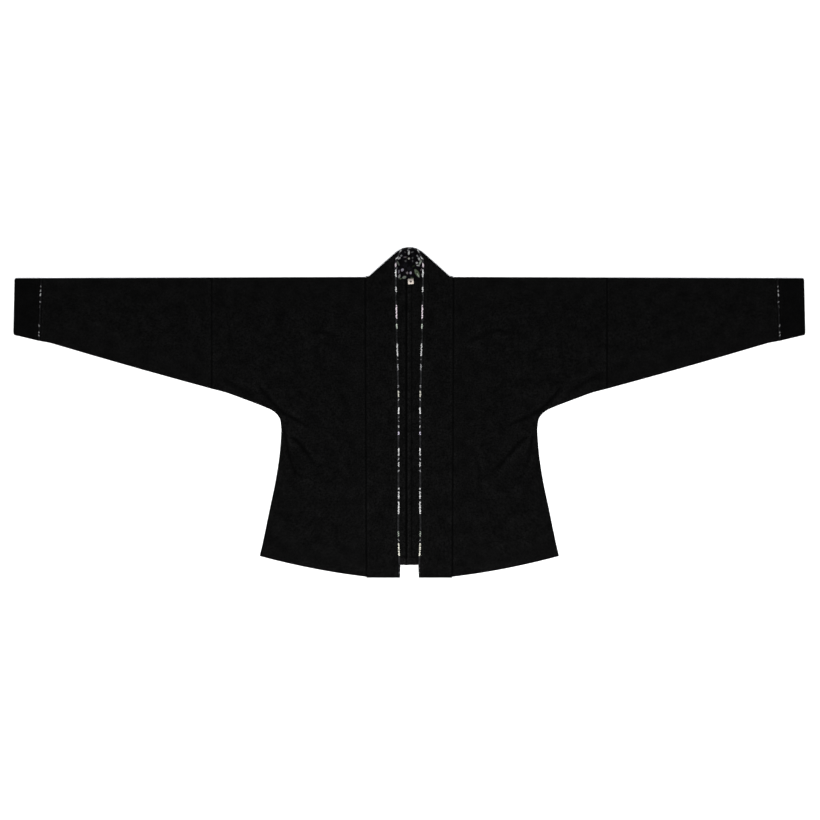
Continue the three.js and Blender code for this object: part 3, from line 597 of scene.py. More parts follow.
def cuffEdgingSkin(side):
    fold, under = (end + np.array([0, 0.35, 0.9, 1.5, 2.15, 2.8, 3.4, 3.95, 4.3]) for end in cuffSeam)
    return tubeSkin(side, tubeRings(fold, under), cuffEdging, edgingShape,
                    flat=lambda half, down: pair(down, pastCuffSeam(half, down)))


def cuffMouth(down):  # half of the mouth on the front
    return cuff["end"][0] + (cuff["end"][1] - cuff["end"][0]) * np.clip(down / cuff["mouthLength"], 0, 1)


def cuffShape(side, half, down):
    fromSeam = pastCuffSeam(half, down) - cuffEdging["width"] - cuff["underlap"]
    toEnd = cuffMouth(down) - half
    pressed = 0.14 * bell(toEnd - 10, 1.6) - 0.08 * bell(toEnd - 12.6, 1.2)
    return seamShape(np.abs(fromSeam), down, 0.6, 60 + side) + pressed


# Painted shade in the seam by the edging, with a painted highlight beside it
def cuffPaintedShading(half, down):
    return paintedSeamShading(pastCuffSeam(half, down) - cuffEdging["width"])


def cuffSkin(side):  # with rounded corners at the mouth
    corner = cuff["corner"]
    start = np.array(cuffSeam) + cuffEdging["width"] + cuff["underlap"]
    end = np.array(cuff["end"])
    places = edgeSpacing((end - start)[0] - corner, cuff["pitch"], body["hemFine"])
    share = places / places[-1]
    angle = np.radians([12, 25, 38, 50, 61, 71, 80, 86, 90])
    fold, under = (np.concatenate([start[row] + share * (end[row] - corner - start[row]),
                                   end[row] - corner + corner * np.sin(angle)]) for row in (0, 1))
    inset = np.concatenate([np.zeros(len(share)), corner * (1 - np.cos(angle)) * cuff["cornerSquash"]])
    rim = cuff["mouthRound"] * (1 - rounded(fold[-1] - fold, 1.3))
    return tubeSkin(side, tubeRings(fold, under, inset, rim), cuff, cuffShape, cuffPaintedShading)


# Collar band: one strip from hem to hem that turns over at the neck

collar = {
    "thickness": 2.0,
    "pitch": 3.6,
    "neckPitch": 2.2,
    "underPitch": 2.6,
    "neckStart": 40.0,
    "hemFine": [0, 0.15, 0.5, 1.2, 2.6],
    "turnSteps": 14,
    "kneeShare": 0.11,    # where across the band the fold bends, and how far it drops there
    "kneeDrop": 5.9,
    "tipShare": 0.87,     # the same close to the free edge
    "tipDrop": 2.0,
    "leastSlant": 0.33,
    "backLevel": 1.0,
    "frontLevel": 3.0,
    "undulation": 0.22,
}
collarEdging = {"width": 4.0, "pitch": 0.8, "neckPitch": 0.9}
frontEdge = (  # down and half of the free edge
    [12, 50, 90, 130, 170, 205, 245, 285, 330, 400, 490, 550, 585, 608, 622, 645.4],
    [27.1, 26.8, 25.9, 24.9, 24.0, 22.9, 22.0, 21.4, 21.5, 21.6, 21.4, 22.1, 21.2, 19.6, 19.2, 20.1],
)

# Seam half, seam down, edge half, edge down, level of the middle at the seam and at the edge
neckRows = [
    (95, 26, 27.2, 12, 3.0, 4.6), (94.9, 14, 27.5, -6, 3.1, 4.6), (94.9, 9, 27.9, -22, 3.2, 4.6),
    (94.8, 5.6, 27.3, -33, 3.3, 4.6), (94.7, 3.6, 24.6, -42, 3.3, 4.6), (94.6, 2.2, 21.4, -49, 3.3, 4.6),
    (94.5, 1.3, 18.5, -55.2, 3.3, 4.6), (94.4, 0.7, 16.6, -60.4, 3.3, 4.6),
]
underRows = [  # under the fold, on to the centre back
    neckRows[-1], (88, 3.6, 16.0, -62.2, 3.3, 4.6), (74, 5, 10, -63.7, 3.3, 4.6),
    (46, 5, 4.6, -64.6, 3.3, 4.6), (20, 5, 1.8, -64.7, 3.3, 4.6), (0, 5, 0, -64.7, 3.3, 4.6),
]


def sampledRows(rows, pitch):
    rows = np.array(rows, float)
    position = [0.0]
    for index, move in enumerate(np.abs(np.diff(rows[:, :4], axis=0)).max(axis=1)):
        steps = max(1, round(move / pitch))
        position += list(index + np.arange(1, steps + 1) / steps)
    return smoothPath(rows, np.array(position))


def collarRings(pitch, neckPitch):
    # Columns of a neck row, then the turn in quarter circles and +1 or -1 for the side
    fine = collar["hemFine"]
    fromHem = edgeSpacing(plan["bandBottom"] - collar["neckStart"], pitch, fine)[:1 - len(fine)]
    downs = plan["bandBottom"] - fromHem
    levels = np.full(len(downs), collar["frontLevel"])
    front = np.column_stack([collarSeam(downs), downs, np.interp(downs, *frontEdge), downs, levels, levels])
    neck = sampledRows([front[-1]] + neckRows, neckPitch)[1:]
    turns = np.linspace(0, 2, collar["turnSteps"] + 1)[1:-1]
    under = sampledRows(underRows, max(pitch, collar["underPitch"]))
    rows = np.vstack([front, neck, np.tile(neck[-1], (len(turns), 1)), under])
    turn = np.concatenate([np.zeros(len(front) + len(neck)), turns, np.full(len(under), 2)])
    half = np.column_stack([rows, turn, np.ones(len(rows))])
    return np.vstack([half, half[:-1][::-1] * (-1, 1, -1, 1, 1, 1, 1, -1)])


def ringWidths(rings):  # the band's width at each ring, square to its free edge
    slants = []
    for index, ring in enumerate(rings):
        away = np.abs(rings[:, 2:4] - ring[2:4]).max(axis=1) > 0.02
        before, after = np.flatnonzero(away[:index]), np.flatnonzero(away[index + 1:])
        across = (ring[0:2] - ring[2:4]) / np.linalg.norm(ring[0:2] - ring[2:4])
        found = []
        for other in list(before[-1:]) + list(index + 1 + after[:1]):
            way = rings[other, 2:4] - ring[2:4]
            way = way / np.linalg.norm(way)
            found.append(1 / max(abs(across[0] * way[1] - across[1] * way[0]), collar["leastSlant"]))
        slants.append(sum(found) / len(found))
    slants = np.convolve(np.pad(slants, 2, mode="edge"), [0.1, 0.2, 0.4, 0.2, 0.1], mode="valid")
    return (np.hypot(rings[:, 0] - rings[:, 2], rings[:, 1] - rings[:, 3]) / slants)[:, None]


foldHalf, foldTop, foldEdge, foldLow = neckRows[-1][:4]
foldWay = np.array([foldTop - foldLow, -(foldHalf - foldEdge - collar["kneeDrop"])])
foldWay = foldWay / np.linalg.norm(foldWay)


def collarPlaces(rings, share, offset):
    # share runs from the seam to the free edge, offset is out of the band's middle
    seamHalf, seamDown, edgeHalf, edgeDown, seamLevel, edgeLevel, turn, side = (
        rings[:, column:column + 1] for column in range(8))
    slope = (seamDown - edgeDown) / (foldTop - foldLow)

    def nearFold(leastSlope, leastHalf):  # 1 in the fold, fading along the front and under it
        under = np.where(turn == 2, ramp(leastHalf, foldHalf, np.abs(seamHalf)), 1)
        return np.where(turn == 0, ramp(leastSlope, 1, slope), under)

    level = seamLevel + (edgeLevel - seamLevel) * ramp(0, 0.6, share)
    radius, angle = (level - collar["backLevel"]) / 2, turn * math.pi / 2
    reach = (radius + offset) * np.sin(angle)
    knee = collar["kneeShare"]
    drop = collar["kneeDrop"] * np.minimum(share / knee, (1 - share) / (1 - knee)) * nearFold(0.5, 46)
    drop = drop + collar["tipDrop"] * nearFold(0.8, 86) * ramp(collar["tipShare"], 1, share)
    mix = 1 - np.clip(share / (2 * knee), 0, 1)
    outHalf, outDown = foldWay[0] * (1 - mix), foldWay[1] * (1 - mix) - mix
    outLength = np.hypot(outHalf, outDown)
    half = seamHalf + (edgeHalf - seamHalf) * share + side * outHalf / outLength * reach
    down = seamDown + (edgeDown - seamDown) * share + drop + outDown / outLength * reach
    height = collar["backLevel"] + radius + (radius + offset) * np.cos(angle)
    return half, down, height - np.where(turn == 0, hemDroop(half, down), 0)


def addStrip(skin, rings, share, offset, rise, wear, across, wayShare):
    # A closed wall swept along the collar, from the hem on the wearer's left to the other one
    half, down, _ = collarPlaces(rings, np.full((len(rings), 1), wayShare), 0)
    along = np.concatenate([[0], np.cumsum(np.hypot(np.diff(half[:, 0]), np.diff(down[:, 0])))])[:, None]
    cut = pair(*np.broadcast_arrays(along, across))
    strip = {"cut": cut}
    for key, face in (("outer", 1), ("inner", -1)):
        half, down, height = collarPlaces(rings, share, face * offset)
        strip[key] = addPoints(skin, half, down, np.maximum(height + rise, 0), wear if face > 0 else 0, cut)
    loop = np.hstack([strip["outer"], strip["inner"][:, ::-1], strip["outer"][:, :1]])
    addGrid(skin, loop, np.hstack([cut, cut[:, ::-1], cut[:, :1]]), True)
    closeEdge(skin, strip, 0, -1)
    closeEdge(skin, strip, -1)
    return skin


def bandSkin():
    rings = collarRings(collar["pitch"], collar["neckPitch"])
    width = ringWidths(rings)
    places = np.array([0, 0.004, 0.012, 0.025, 0.045, 0.08] + list(np.linspace(0.12, 0.9, 16))
                      + [0.935, 0.96, 0.978, 0.99, 0.997, 1])[None, :]
    full = 1 - collarEdging["width"] / width
    share = places * full
    across, fromEdge = share * width, (full - share) * width
    offset = collar["thickness"] / 2 * (0.3 + 0.7 * rounded(across, 1.5) * rounded(fromEdge, 1.2))
    half, down, _ = collarPlaces(rings, share, 0)
    side, onFront = rings[:, 7:8], rings[:, 6:7] == 0
    calm = onFront * ramp(40, 70, down) * ramp(0.02, 0.2, places) * ramp(0.02, 0.2, 1 - places)
    rise = collar["undulation"] * (1 + softNoise(half, down, 38, 14)) * calm
    rise = rise + np.where(side > 0, creaseRelief(bandCrease, np.abs(half), down), 0) * calm
    pucker = softNoise(down, side * 3, cloth["puckerLength"], 41) * bell(across, 6)
    pucker = pucker + softNoise(down, side * 3, 8, 44) * bell(fromEdge, 4)
    rise = rise + 0.7 * cloth["puckerHeight"] * onFront * ramp(30, 50, down) * (pucker + 0.4)
    # Painted shade in the band's seams to the body and to the edging, with painted highlights beside them
    wear = paintedSeamShading(across) + paintedSeamShading(fromEdge)
    return addStrip(newSkin(), rings, share, offset, np.maximum(rise, -0.3), wear, across, 0.5)


def collarEdgingSkin():
    rings = collarRings(collarEdging["pitch"], collarEdging["neckPitch"])
    places = np.array([0, 0.05, 0.16, 0.32, 0.5, 0.68, 0.84, 0.95, 1])[None, :]
    share = 1 - collarEdging["width"] / ringWidths(rings) * (1 - places)
    offset = collar["thickness"] / 2 * np.sqrt(np.clip(0.12 + 3.52 * places * (1 - places), 0, 1))
    offset, across = (np.broadcast_to(part, share.shape) for part in (offset, places * collarEdging["width"]))
    return addStrip(newSkin(), rings, share, offset, 0.0, 0.0, across, 1.0)


# Printed facing inside the neck, and the small label below it

facing = {"bottom": 2.3, "thickness": 0.9, "wave": 0.14, "rows": 100, "columns": 103}
facingSides = ([-59.8, -55, -48, -38, -20, 5.8], [13.4, 18.6, 26, 32, 34, 34])   # down and half width
label = {
    "centre": (3.0, 8.7),
    "width": 12.1,
    "height": 11.5,
    "turn": math.radians(4.0),
    "thickness": 0.6,
    "upperLevel": 3.5,    # on the facing, and where it hangs below it
    "lowerLevel": 2.05,
    "cornerLift": 0.5,
    "wave": 0.12,
    "steps": 28,
    "stitchRow": 5.5,     # above its centre
    "stitchReach": 6.0,
}


def plateSkin(half, down, bottom, thickness, cut):
    skin = newSkin()
    plate = {"outer": addPoints(skin, half, down, bottom + thickness, 0, cut),
             "inner": addPoints(skin, half, down, bottom, 0, cut), "cut": cut}
    addGrid(skin, plate["outer"], cut, True)
    addGrid(skin, plate["inner"], cut, False)
    for place, turn in (((slice(None), 0), 1), (-1, 1), ((slice(None), -1), -1), (0, -1)):
        closeEdge(skin, plate, place, turn)
    return skin


def facingSkin():
    downs = np.linspace(facingSides[0][0], facingSides[0][-1], facing["rows"])[:, None]
    across = np.linspace(-1, 1, facing["columns"])[None, :]
    half = across * np.interp(downs, *facingSides)
    down = np.broadcast_to(downs, half.shape)
    edge = rounded((1 - np.abs(across)) * 30, 1.0) * rounded(facingSides[0][-1] - downs, 1.0)
    wave = facing["wave"] * softNoise(half, down, 16, 21) * ramp(0, 0.35, 1 - np.abs(across))
    return plateSkin(half, down, facing["bottom"] + np.maximum(wave, -0.1) + 0.15 * (1 - edge),
                     facing["thickness"] * (0.35 + 0.65 * edge), pair(half, down))


def labelPlan(wide, high):  # places on the label, as half and down
    cosine, sine = math.cos(label["turn"]), math.sin(label["turn"])
    return label["centre"][0] + wide * cosine + high * sine, label["centre"][1] - wide * sine + high * cosine


def labelSkin():
    steps = np.linspace(-0.5, 0.5, label["steps"])
    along, across = np.meshgrid(steps, steps, indexing="ij")
    wide, high = across * label["width"], along * label["height"]
    half, down = labelPlan(wide, high)
    height = label["upperLevel"] + (label["lowerLevel"] - label["upperLevel"]) * ramp(5.0, 12.4, down)
    height = height + label["cornerLift"] * ramp(0.1, 0.5, along) * ramp(0.1, 0.5, across)
    height = height + label["wave"] * np.cos(across * 9) * ramp(-0.3, 0.4, along)
    edge = rounded((0.5 - np.abs(across)) * label["width"], 0.5)
    edge = edge * rounded((0.5 - np.abs(along)) * label["height"], 0.5)
    return plateSkin(half, down, height + 0.15 * (1 - edge), label["thickness"] * (0.5 + 0.5 * edge),
                     pair(wide, high))


sidedSkins = {"body": ("bodyCloth", bodySkin), "sleeve": ("sleeveCloth", sleeveSkin),
              "cuffEdging": ("cuffPiping", cuffEdgingSkin), "cuff": ("cuffCloth", cuffSkin)}
middleSkins = {"band": ("collarBandCloth", bandSkin), "edging": ("collarPiping", collarEdgingSkin),
               "facing": ("neckFacing", facingSkin), "label": ("sewnLabel", labelSkin)}
pieces, printPlaces = {}, {}
for sideName, side in sides.items():
    for key, (name, skinOf) in sidedSkins.items():
        pieces[key + sideName], printPlaces[key + sideName] = makePiece(name + sideName, skinOf(side), side)
for key, (name, skinOf) in middleSkins.items():
    pieces[key], printPlaces[key] = makePiece(name, skinOf())
print("cloth pieces made")

# Printed cloth: each mark is an ellipse, a leaf or a five-petalled flower. The depth inside the nearest mark,
# in millimetres, and its colour are kept on the mesh, and the material gives the marks their ragged edges.

tints = {
    "white": (0.86, 0.86, 0.85), "cream": (0.88, 0.86, 0.74), "pink": (0.90, 0.78, 0.84),
    "lilac": (0.80, 0.74, 0.88), "grey": (0.80, 0.80, 0.82), "green": (0.58, 0.80, 0.46),
    "paleGreen": (0.80, 0.90, 0.76), "slate": (0.80, 0.78, 1.0),
}
facingMarks = [  # kind, across, down, half length, half width, turn, tint, lightness
    ("petal", -1, -53, 4.4, 2.1, 82, "white", 0.62), ("petal", -2.5, -58.5, 2.6, 1.6, 60, "grey", 0.30),
    ("petal", 6, -54, 3.0, 1.4, 20, "grey", 0.13), ("petal", -9, -54, 2.4, 1.3, -30, "grey", 0.09),
    ("flower", -1, -40.5, 2.9, 2.9, 20, "cream", 0.42), ("petal", -9, -43.5, 4.6, 1.4, 6, "pink", 0.14),
    ("flower", -8, -35, 3.0, 3.0, 0, "grey", 0.10), ("petal", -22, -41, 3.2, 2.1, 32, "white", 0.46),
    ("leaf", -24, -30, 7.0, 2.0, -66, "paleGreen", 0.13), ("petal", -17.5, -46.5, 2.6, 1.9, 40, "grey", 0.26),
    ("petal", -15, -16, 3.4, 2.7, 62, "lilac", 0.42), ("petal", -22.5, -12.5, 4.4, 2.0, 80, "lilac", 0.17),
    ("petal", -21.5, -2.5, 4.4, 2.3, 72, "white", 0.30), ("leaf", -11, 0, 5.4, 3.0, 22, "paleGreen", 0.22),
    ("leaf", -19, 3, 3.2, 1.5, 10, "green", 0.14), ("petal", -4.6, -9.5, 2.9, 2.2, 96, "pink", 0.22),
    ("petal", 2.8, -9.5, 2.9, 2.4, 84, "lilac", 0.46), ("flower", -0.5, -18.5, 6.0, 6.0, 10, "slate", 0.012),
    ("flower", -9, -25, 6.5, 6.5, 30, "slate", 0.009), ("leaf", 16.6, -9, 11.0, 4.2, -62, "green", 0.16),
    ("petal", 18.8, -4.2, 5.2, 1.3, -62, "paleGreen", 0.42),
    ("petal", 15.6, -11, 3.0, 0.9, -50, "slate", 0.006),
    ("petal", 13.2, -13.4, 3.6, 0.9, -58, "paleGreen", 0.2), ("petal", 16, -31, 2.6, 2.2, 20, "white", 0.46),
    ("petal", 18.5, -25.5, 3.8, 1.4, -6, "white", 0.48), ("leaf", 23.5, -32, 7.8, 2.0, 62, "paleGreen", 0.36),
    ("petal", 21, -39.5, 3.8, 2.2, -60, "white", 0.48), ("petal", 17.5, -46, 2.4, 1.6, -42, "grey", 0.28),
    ("petal", 7, -42, 2.4, 1.5, 62, "grey", 0.12), ("petal", 7, -35, 2.4, 1.4, 80, "grey", 0.11),
    ("petal", 26, -17, 2.6, 1.3, 60, "pink", 0.22), ("leaf", 9, -24, 4.2, 1.5, 34, "green", 0.035),
    ("flower", 28, -6, 3.4, 3.4, 8, "white", 0.30), ("flower", -29, -20, 3.6, 3.6, 24, "grey", 0.26),
    ("leaf", 6, 1, 5.0, 1.8, -20, "green", 0.06),
]
pipingMarks = [  # counted from the hem, the same on both sides: middle, length, width, tint, lightness
    (5, 9, 5.0, "grey", 0.004), (16, 10, 5.0, "grey", 0.004), (26, 8, 5.0, "grey", 0.005),
    (11, 3, 2.0, "grey", 0.3), (21, 3, 2.0, "grey", 0.24), (521, 20, 5.0, "grey", 0.006),
    (602, 16, 5.0, "grey", 0.005), (61, 30, 4.4, "cream", 0.96), (81, 6, 3.0, "white", 0.46),
    (95, 14, 3.2, "paleGreen", 0.50),
    (151, 30, 4.2, "white", 0.86), (178, 19, 3.8, "white", 0.74), (192, 5, 3.2, "white", 0.62),
    (230, 7, 2.8, "grey", 0.40), (244, 12, 4.0, "white", 0.74), (255, 5, 3.0, "grey", 0.60),
    (271, 19, 4.2, "white", 0.82), (311, 9, 3.6, "lilac", 0.74), (325, 7, 3.4, "white", 0.66),
    (337, 5, 2.2, "grey", 0.28), (345, 5, 2.4, "grey", 0.30), (360, 17, 4.4, "white", 0.92),
    (383, 6, 2.8, "grey", 0.42), (396, 16, 3.6, "cream", 0.68), (412, 8, 2.4, "grey", 0.30),
    (453, 17, 3.0, "grey", 0.42), (470, 3, 2.4, "grey", 0.22), (491, 30, 4.0, "white", 0.76),
    (541, 12, 3.8, "paleGreen", 0.66), (572, 33, 4.2, "pink", 0.96), (621, 15, 4.2, "white", 0.80),
    (655, 20, 4.2, "white", 0.84), (673, 12, 4.0, "pink", 0.7), (690, 6, 3.2, "white", 0.44),
    (708, 8, 3.2, "white", 0.46), (720, 5, 2.6, "grey", 0.22), (732, 8, 3.0, "grey", 0.3),
]
cuffMarks = [  # the same along the front of a cuff's piping, counted from the fold
    (20, 4, 3.0, "white", 0.42), (29, 7, 3.8, "white", 0.72), (38, 8, 4.0, "white", 0.80),
    (53, 6, 3.4, "grey", 0.50), (63, 8, 2.2, "grey", 0.14), (82, 6, 2.0, "grey", 0.11),
    (104, 6, 3.6, "white", 0.58), (118, 5, 3.6, "white", 0.56), (125, 5, 3.8, "white", 0.66),
]


def insideMark(mark, across, down):  # millimetres inside the mark, negative outside
    kind, atAcross, atDown, long, wide, turn = mark[:6]
    cosine, sine = math.cos(math.radians(turn)), math.sin(math.radians(turn))
    first = (across - atAcross) * cosine - (down - atDown) * sine
    second = (across - atAcross) * sine + (down - atDown) * cosine
    if kind == "leaf":  # with a darker rib along its middle
        return wide * (1 - (first / long) ** 2) - np.abs(second) - 0.25 * wide * bell(second, 0.5)
    if kind == "flower":
        return long * (0.74 + 0.26 * np.cos(5 * np.arctan2(second, first))) - np.hypot(first, second)
    return (1 - np.hypot(first / long, second / wide)) * min(long, wide)


def paintMarks(piece, across, down, marks):  # a later mark covers an earlier one
    depth, shade = np.full(across.shape, -9.0), np.zeros((len(across), 4))
    for mark in marks:
        inside = insideMark(mark, across, down)
        tint = np.append(np.array(tints[mark[6]]) * mark[7], 1)
        shade = np.where(((inside > depth) | (inside > 0))[:, None], tint, shade)
        depth = np.maximum(depth, inside)
    attributes = piece.data.attributes
    attributes.new("markDepth", "FLOAT", "POINT").data.foreach_set("value", depth.astype(np.float32))
    colours = attributes.new("markColour", "FLOAT_COLOR", "POINT")
    colours.data.foreach_set("color", shade.ravel().astype(np.float32))


def sprays(rows, seed):  # each mark of an edging as a short spray with dark ground between its parts
    draw = random.Random(seed)
    marks = []
    for middle, long, wide, tint, light in rows:
        count = max(1, round(long / 4.4))
        for index in range(count):
            place = middle + (long - 2.8) * ((index + 0.5) / count - 0.5) + draw.uniform(-0.4, 0.4)
            turn = draw.choice((-1, 1)) * draw.uniform(12, 62)
            size = min(long / count * draw.uniform(0.46, 0.6), 3.2)
            kind = draw.choice(("petal", "petal", "leaf", "flower"))
            marks.append((kind, place, 2.65 + draw.uniform(-0.4, 0.4), size, wide * draw.uniform(0.27, 0.4),
                          turn, tint, light * draw.uniform(0.8, 1.2)))
    return marks


paintMarks(pieces["facing"], *printPlaces["facing"].T, facingMarks)
along, across = printPlaces["edging"].T
paintMarks(pieces["edging"], np.minimum(along, along.max() - along), across, sprays(pipingMarks, 5))
for sideName in sides:
    paintMarks(pieces["cuffEdging" + sideName], *printPlaces["cuffEdging" + sideName].T, sprays(cuffMarks, 8))
print("prints painted")


# Materials

def newMaterial(name, fixed):  # fixed values go on the shader's own sockets
    material = bpy.data.materials.new(name)
    material.use_nodes = True
    for socket, value in fixed.items():
        material.node_tree.nodes["Principled BSDF"].inputs[socket].default_value = value
    return material, material.node_tree


def finished(material, colour, rough, normal=None):  # links them to the shader
    shader = material.node_tree.nodes["Principled BSDF"]
    for value, socket in ((colour, "Base Color"), (rough, "Roughness"), (normal, "Normal")):
        if value is not None:
            material.node_tree.links.new(value, shader.inputs[socket])
    return material


def addNode(tree, kind, inputs=(), **settings):
    # Adds a node, with its settings and with sockets given as values or as other nodes' outputs
    node = tree.nodes.new("ShaderNode" + kind)
    for key, value in settings.items():
        setattr(node, key, value)
    for socket, value in dict(inputs).items():
        if isinstance(value, bpy.types.NodeSocket):
            tree.links.new(value, node.inputs[socket])
        else:
            node.inputs[socket].default_value = value
    return node.outputs


def objectPlace(tree):
    return addNode(tree, "TexCoord")["Object"]


def cutPlace(tree):
    return addNode(tree, "UVMap", uv_map="cut")["UV"]


def noiseValue(tree, place, scale, detail=2.0, rough=0.5):
    inputs = {"Vector": place, "Scale": scale, "Detail": detail, "Roughness": rough}
    return addNode(tree, "TexNoise", inputs)["Fac"]


def spread(tree, value, low, high, toLow, toHigh, soft=False):
    inputs = {"Value": value, "From Min": low, "From Max": high, "To Min": toLow, "To Max": toHigh}
    return addNode(tree, "MapRange", inputs, interpolation_type="SMOOTHSTEP" if soft else "LINEAR")["Result"]


def uneven(tree, place, scale, span, detail=2.0, rough=0.5):  # noise brought to the two values of span
    return spread(tree, noiseValue(tree, place, scale, detail, rough), 0.3, 0.7, *span)


def combined(tree, operation, *values):
    result = values[0]
    for value in values[1:]:
        result = addNode(tree, "Math", {0: result, 1: value}, operation=operation)["Value"]
    return result


def product(tree, *values):
    return combined(tree, "MULTIPLY", *values)


def scaled(tree, colour, factor):
    return addNode(tree, "VectorMath", {0: colour, "Scale": factor}, operation="SCALE")["Vector"]


def mixed(tree, factor, first, second):
    return addNode(tree, "Mix", {0: factor, 6: first, 7: second}, data_type="RGBA")[2]


waveLength = 0.31416   # of one wave at scale 1


def waves(tree, place, pitch, direction, wobble, detailScale=1.0):  # ridges, a pitch in millimetres apart
    inputs = {"Vector": place, "Scale": waveLength / (pitch * mm), "Distortion": wobble, "Detail": 2.0,
              "Detail Scale": detailScale}
    return addNode(tree, "TexWave", inputs, wave_type="BANDS", bands_direction=direction,
                   wave_profile="SIN")["Fac"]


def threads(tree, pitch, wobble):  # height of a plain weave that follows the cut of the cloth, 0 to 1
    cut = cutPlace(tree)
    return product(tree, *(waves(tree, cut, pitch, direction, wobble, 0.6) for direction in ("X", "Y")))


def bump(tree, strength, distance, height, finer=None):
    inputs = {"Strength": strength, "Distance": distance, "Height": height}
    if finer is not None:
        inputs["Normal"] = finer
    return addNode(tree, "Bump", inputs)["Normal"]


def clothMaterial(name, look):
    # Matt cloth: a fine crepe weave, soft mottling, small specks, painted shade in seams and creases with
    # painted highlights on the ridges beside them, and a painted light falloff along its length
    material, tree = newMaterial(name, {
        "Sheen Weight": look["sheen"], "Sheen Roughness": look["sheenRoughness"],
        "Sheen Tint": (0.9, 0.92, 1.0, 1.0), "Specular IOR Level": look["specular"], "IOR": 1.45})
    place = objectPlace(tree)
    mottling = uneven(tree, place, look["mottlingScale"], look["mottling"], 5, 0.6)
    specks = uneven(tree, place, look["speckScale"], look["specks"], 3, 0.65)
    lint = spread(tree, noiseValue(tree, place, look["dustScale"], 1), 0.70, 0.78, 1.0, look["lint"])
    # Painted shade and painted highlights kept on the mesh, varied by noise and spread to a colour factor
    wear = product(tree, addNode(tree, "Attribute", attribute_name="wear")["Fac"],
                   uneven(tree, place, look["paintedShadingScale"], look["paintedShadingSpan"], 3))
    paintedShadingFactor = spread(tree, wear, -1.5, 2, *look["paintedShadingFactor"])
    # Painted light falloff: the colour is lighter towards the hem and darker towards the shoulders
    paintedLightFalloff = spread(tree, addNode(tree, "SeparateXYZ", {"Vector": place})["Y"], -0.3, 0.25, *look["paintedLightFalloff"])
    weave = threads(tree, look["threadPitch"], 1.5)
    shade = product(tree, mottling, specks, lint, paintedShadingFactor, paintedLightFalloff, spread(tree, weave, 0, 1, 0.82, 1.22))
    crepe = noiseValue(tree, place, look["crepeScale"], 3, 0.6)
    height = combined(tree, "ADD", product(tree, crepe, 0.6), product(tree, weave, 0.5))
    fine = bump(tree, look["bump"], 0.00022, height)
    return finished(material, scaled(tree, look["colour"], shade),
                    uneven(tree, place, 420, (look["roughness"] - 0.06, look["roughness"] + 0.06)),
                    bump(tree, 0.35, 0.0006, noiseValue(tree, place, 120, 3), fine))


def printMaterial(name, look):
    # Printed cloth: the marks kept on the mesh, with ragged edges and uneven ink, on a dark ground
    material, tree = newMaterial(name, {
        "Sheen Weight": 0.008, "Sheen Roughness": 0.5, "Specular IOR Level": look["specular"], "IOR": 1.45})
    place = objectPlace(tree)
    depth = addNode(tree, "Attribute", attribute_name="markDepth")["Fac"]
    colour = addNode(tree, "Attribute", attribute_name="markColour")["Color"]
    ragged = spread(tree, noiseValue(tree, place, 780, 4, 0.6), 0.25, 0.75, -look["ragged"], look["ragged"])
    inked = spread(tree, combined(tree, "ADD", depth, ragged), -0.12, 0.12, 0, 1, True)
    ink = product(tree, uneven(tree, place, 900, look["ink"], 3), spread(tree, depth, 0, 1.6, 0.82, 1.08))
    ground = scaled(tree, look["ground"], uneven(tree, place, 150, look["groundSpread"], 4, 0.6))
    weave = threads(tree, look["threadPitch"], 1.0)
    printed = mixed(tree, inked, ground, scaled(tree, colour, ink))
    height = combined(tree, "ADD", product(tree, weave, 0.7), product(tree, inked, 0.1))
    return finished(material, scaled(tree, printed, spread(tree, weave, 0, 1, 0.86, 1.10)),
                    uneven(tree, place, 600, (0.66, 0.86)), bump(tree, 0.5, 0.00016, height))


def labelMaterial(look):
    # Woven satin ribbon with a plain dark dot, and painted shade: darker at its stitched top and lighter at
    # its lower end
    material, tree = newMaterial("labelRibbon", {"Sheen Weight": 0.1, "Specular IOR Level": 0.35})
    cut = cutPlace(tree)
    parts = addNode(tree, "SeparateXYZ", {"Vector": cut})
    across = combined(tree, "DIVIDE", parts["X"], look["dotWidth"] * mm / 2)
    along = combined(tree, "SUBTRACT", parts["Y"], look["dotDown"] * mm)
    along = combined(tree, "DIVIDE", along, look["dotHeight"] * mm / 2)
    squares = combined(tree, "ADD", product(tree, across, across), product(tree, along, along))
    frayed = combined(tree, "ADD", squares, uneven(tree, cut, 1600, (-0.25, 0.25)))
    dot = spread(tree, frayed, 0.85, 1.15, 1, 0, True)
    ribs = waves(tree, cut, look["ribPitch"], "Y", 0.6)
    # Uneven tone, times painted shade of the curled label: darker at the stitched top, lighter at the lower
    # end
    toneAndPaintedShade = product(tree, uneven(tree, cut, 260, (0.9, 1.05), 3),
                   spread(tree, parts["Y"], -0.004, 0.004, *look["paintedCurlShade"], True))
    plain = scaled(tree, look["colour"], product(tree, toneAndPaintedShade, spread(tree, ribs, 0, 1, 0.88, 1.05)))
    return finished(material, mixed(tree, dot, plain, (*look["dot"], 1)), spread(tree, ribs, 0, 1, 0.62, 0.5),
                    bump(tree, 0.5, 0.00012, ribs))


def threadMaterial(name, colour, roughness, specular):
    material, tree = newMaterial(name, {"Specular IOR Level": specular, "Sheen Weight": specular / 5})
    twist = noiseValue(tree, objectPlace(tree), 2600)
    return finished(material, scaled(tree, colour, spread(tree, twist, 0.3, 0.7, 0.7, 1.3)),
                    spread(tree, twist, 0.3, 0.7, roughness - 0.08, roughness + 0.08),
                    bump(tree, 0.4, 0.0001, twist))


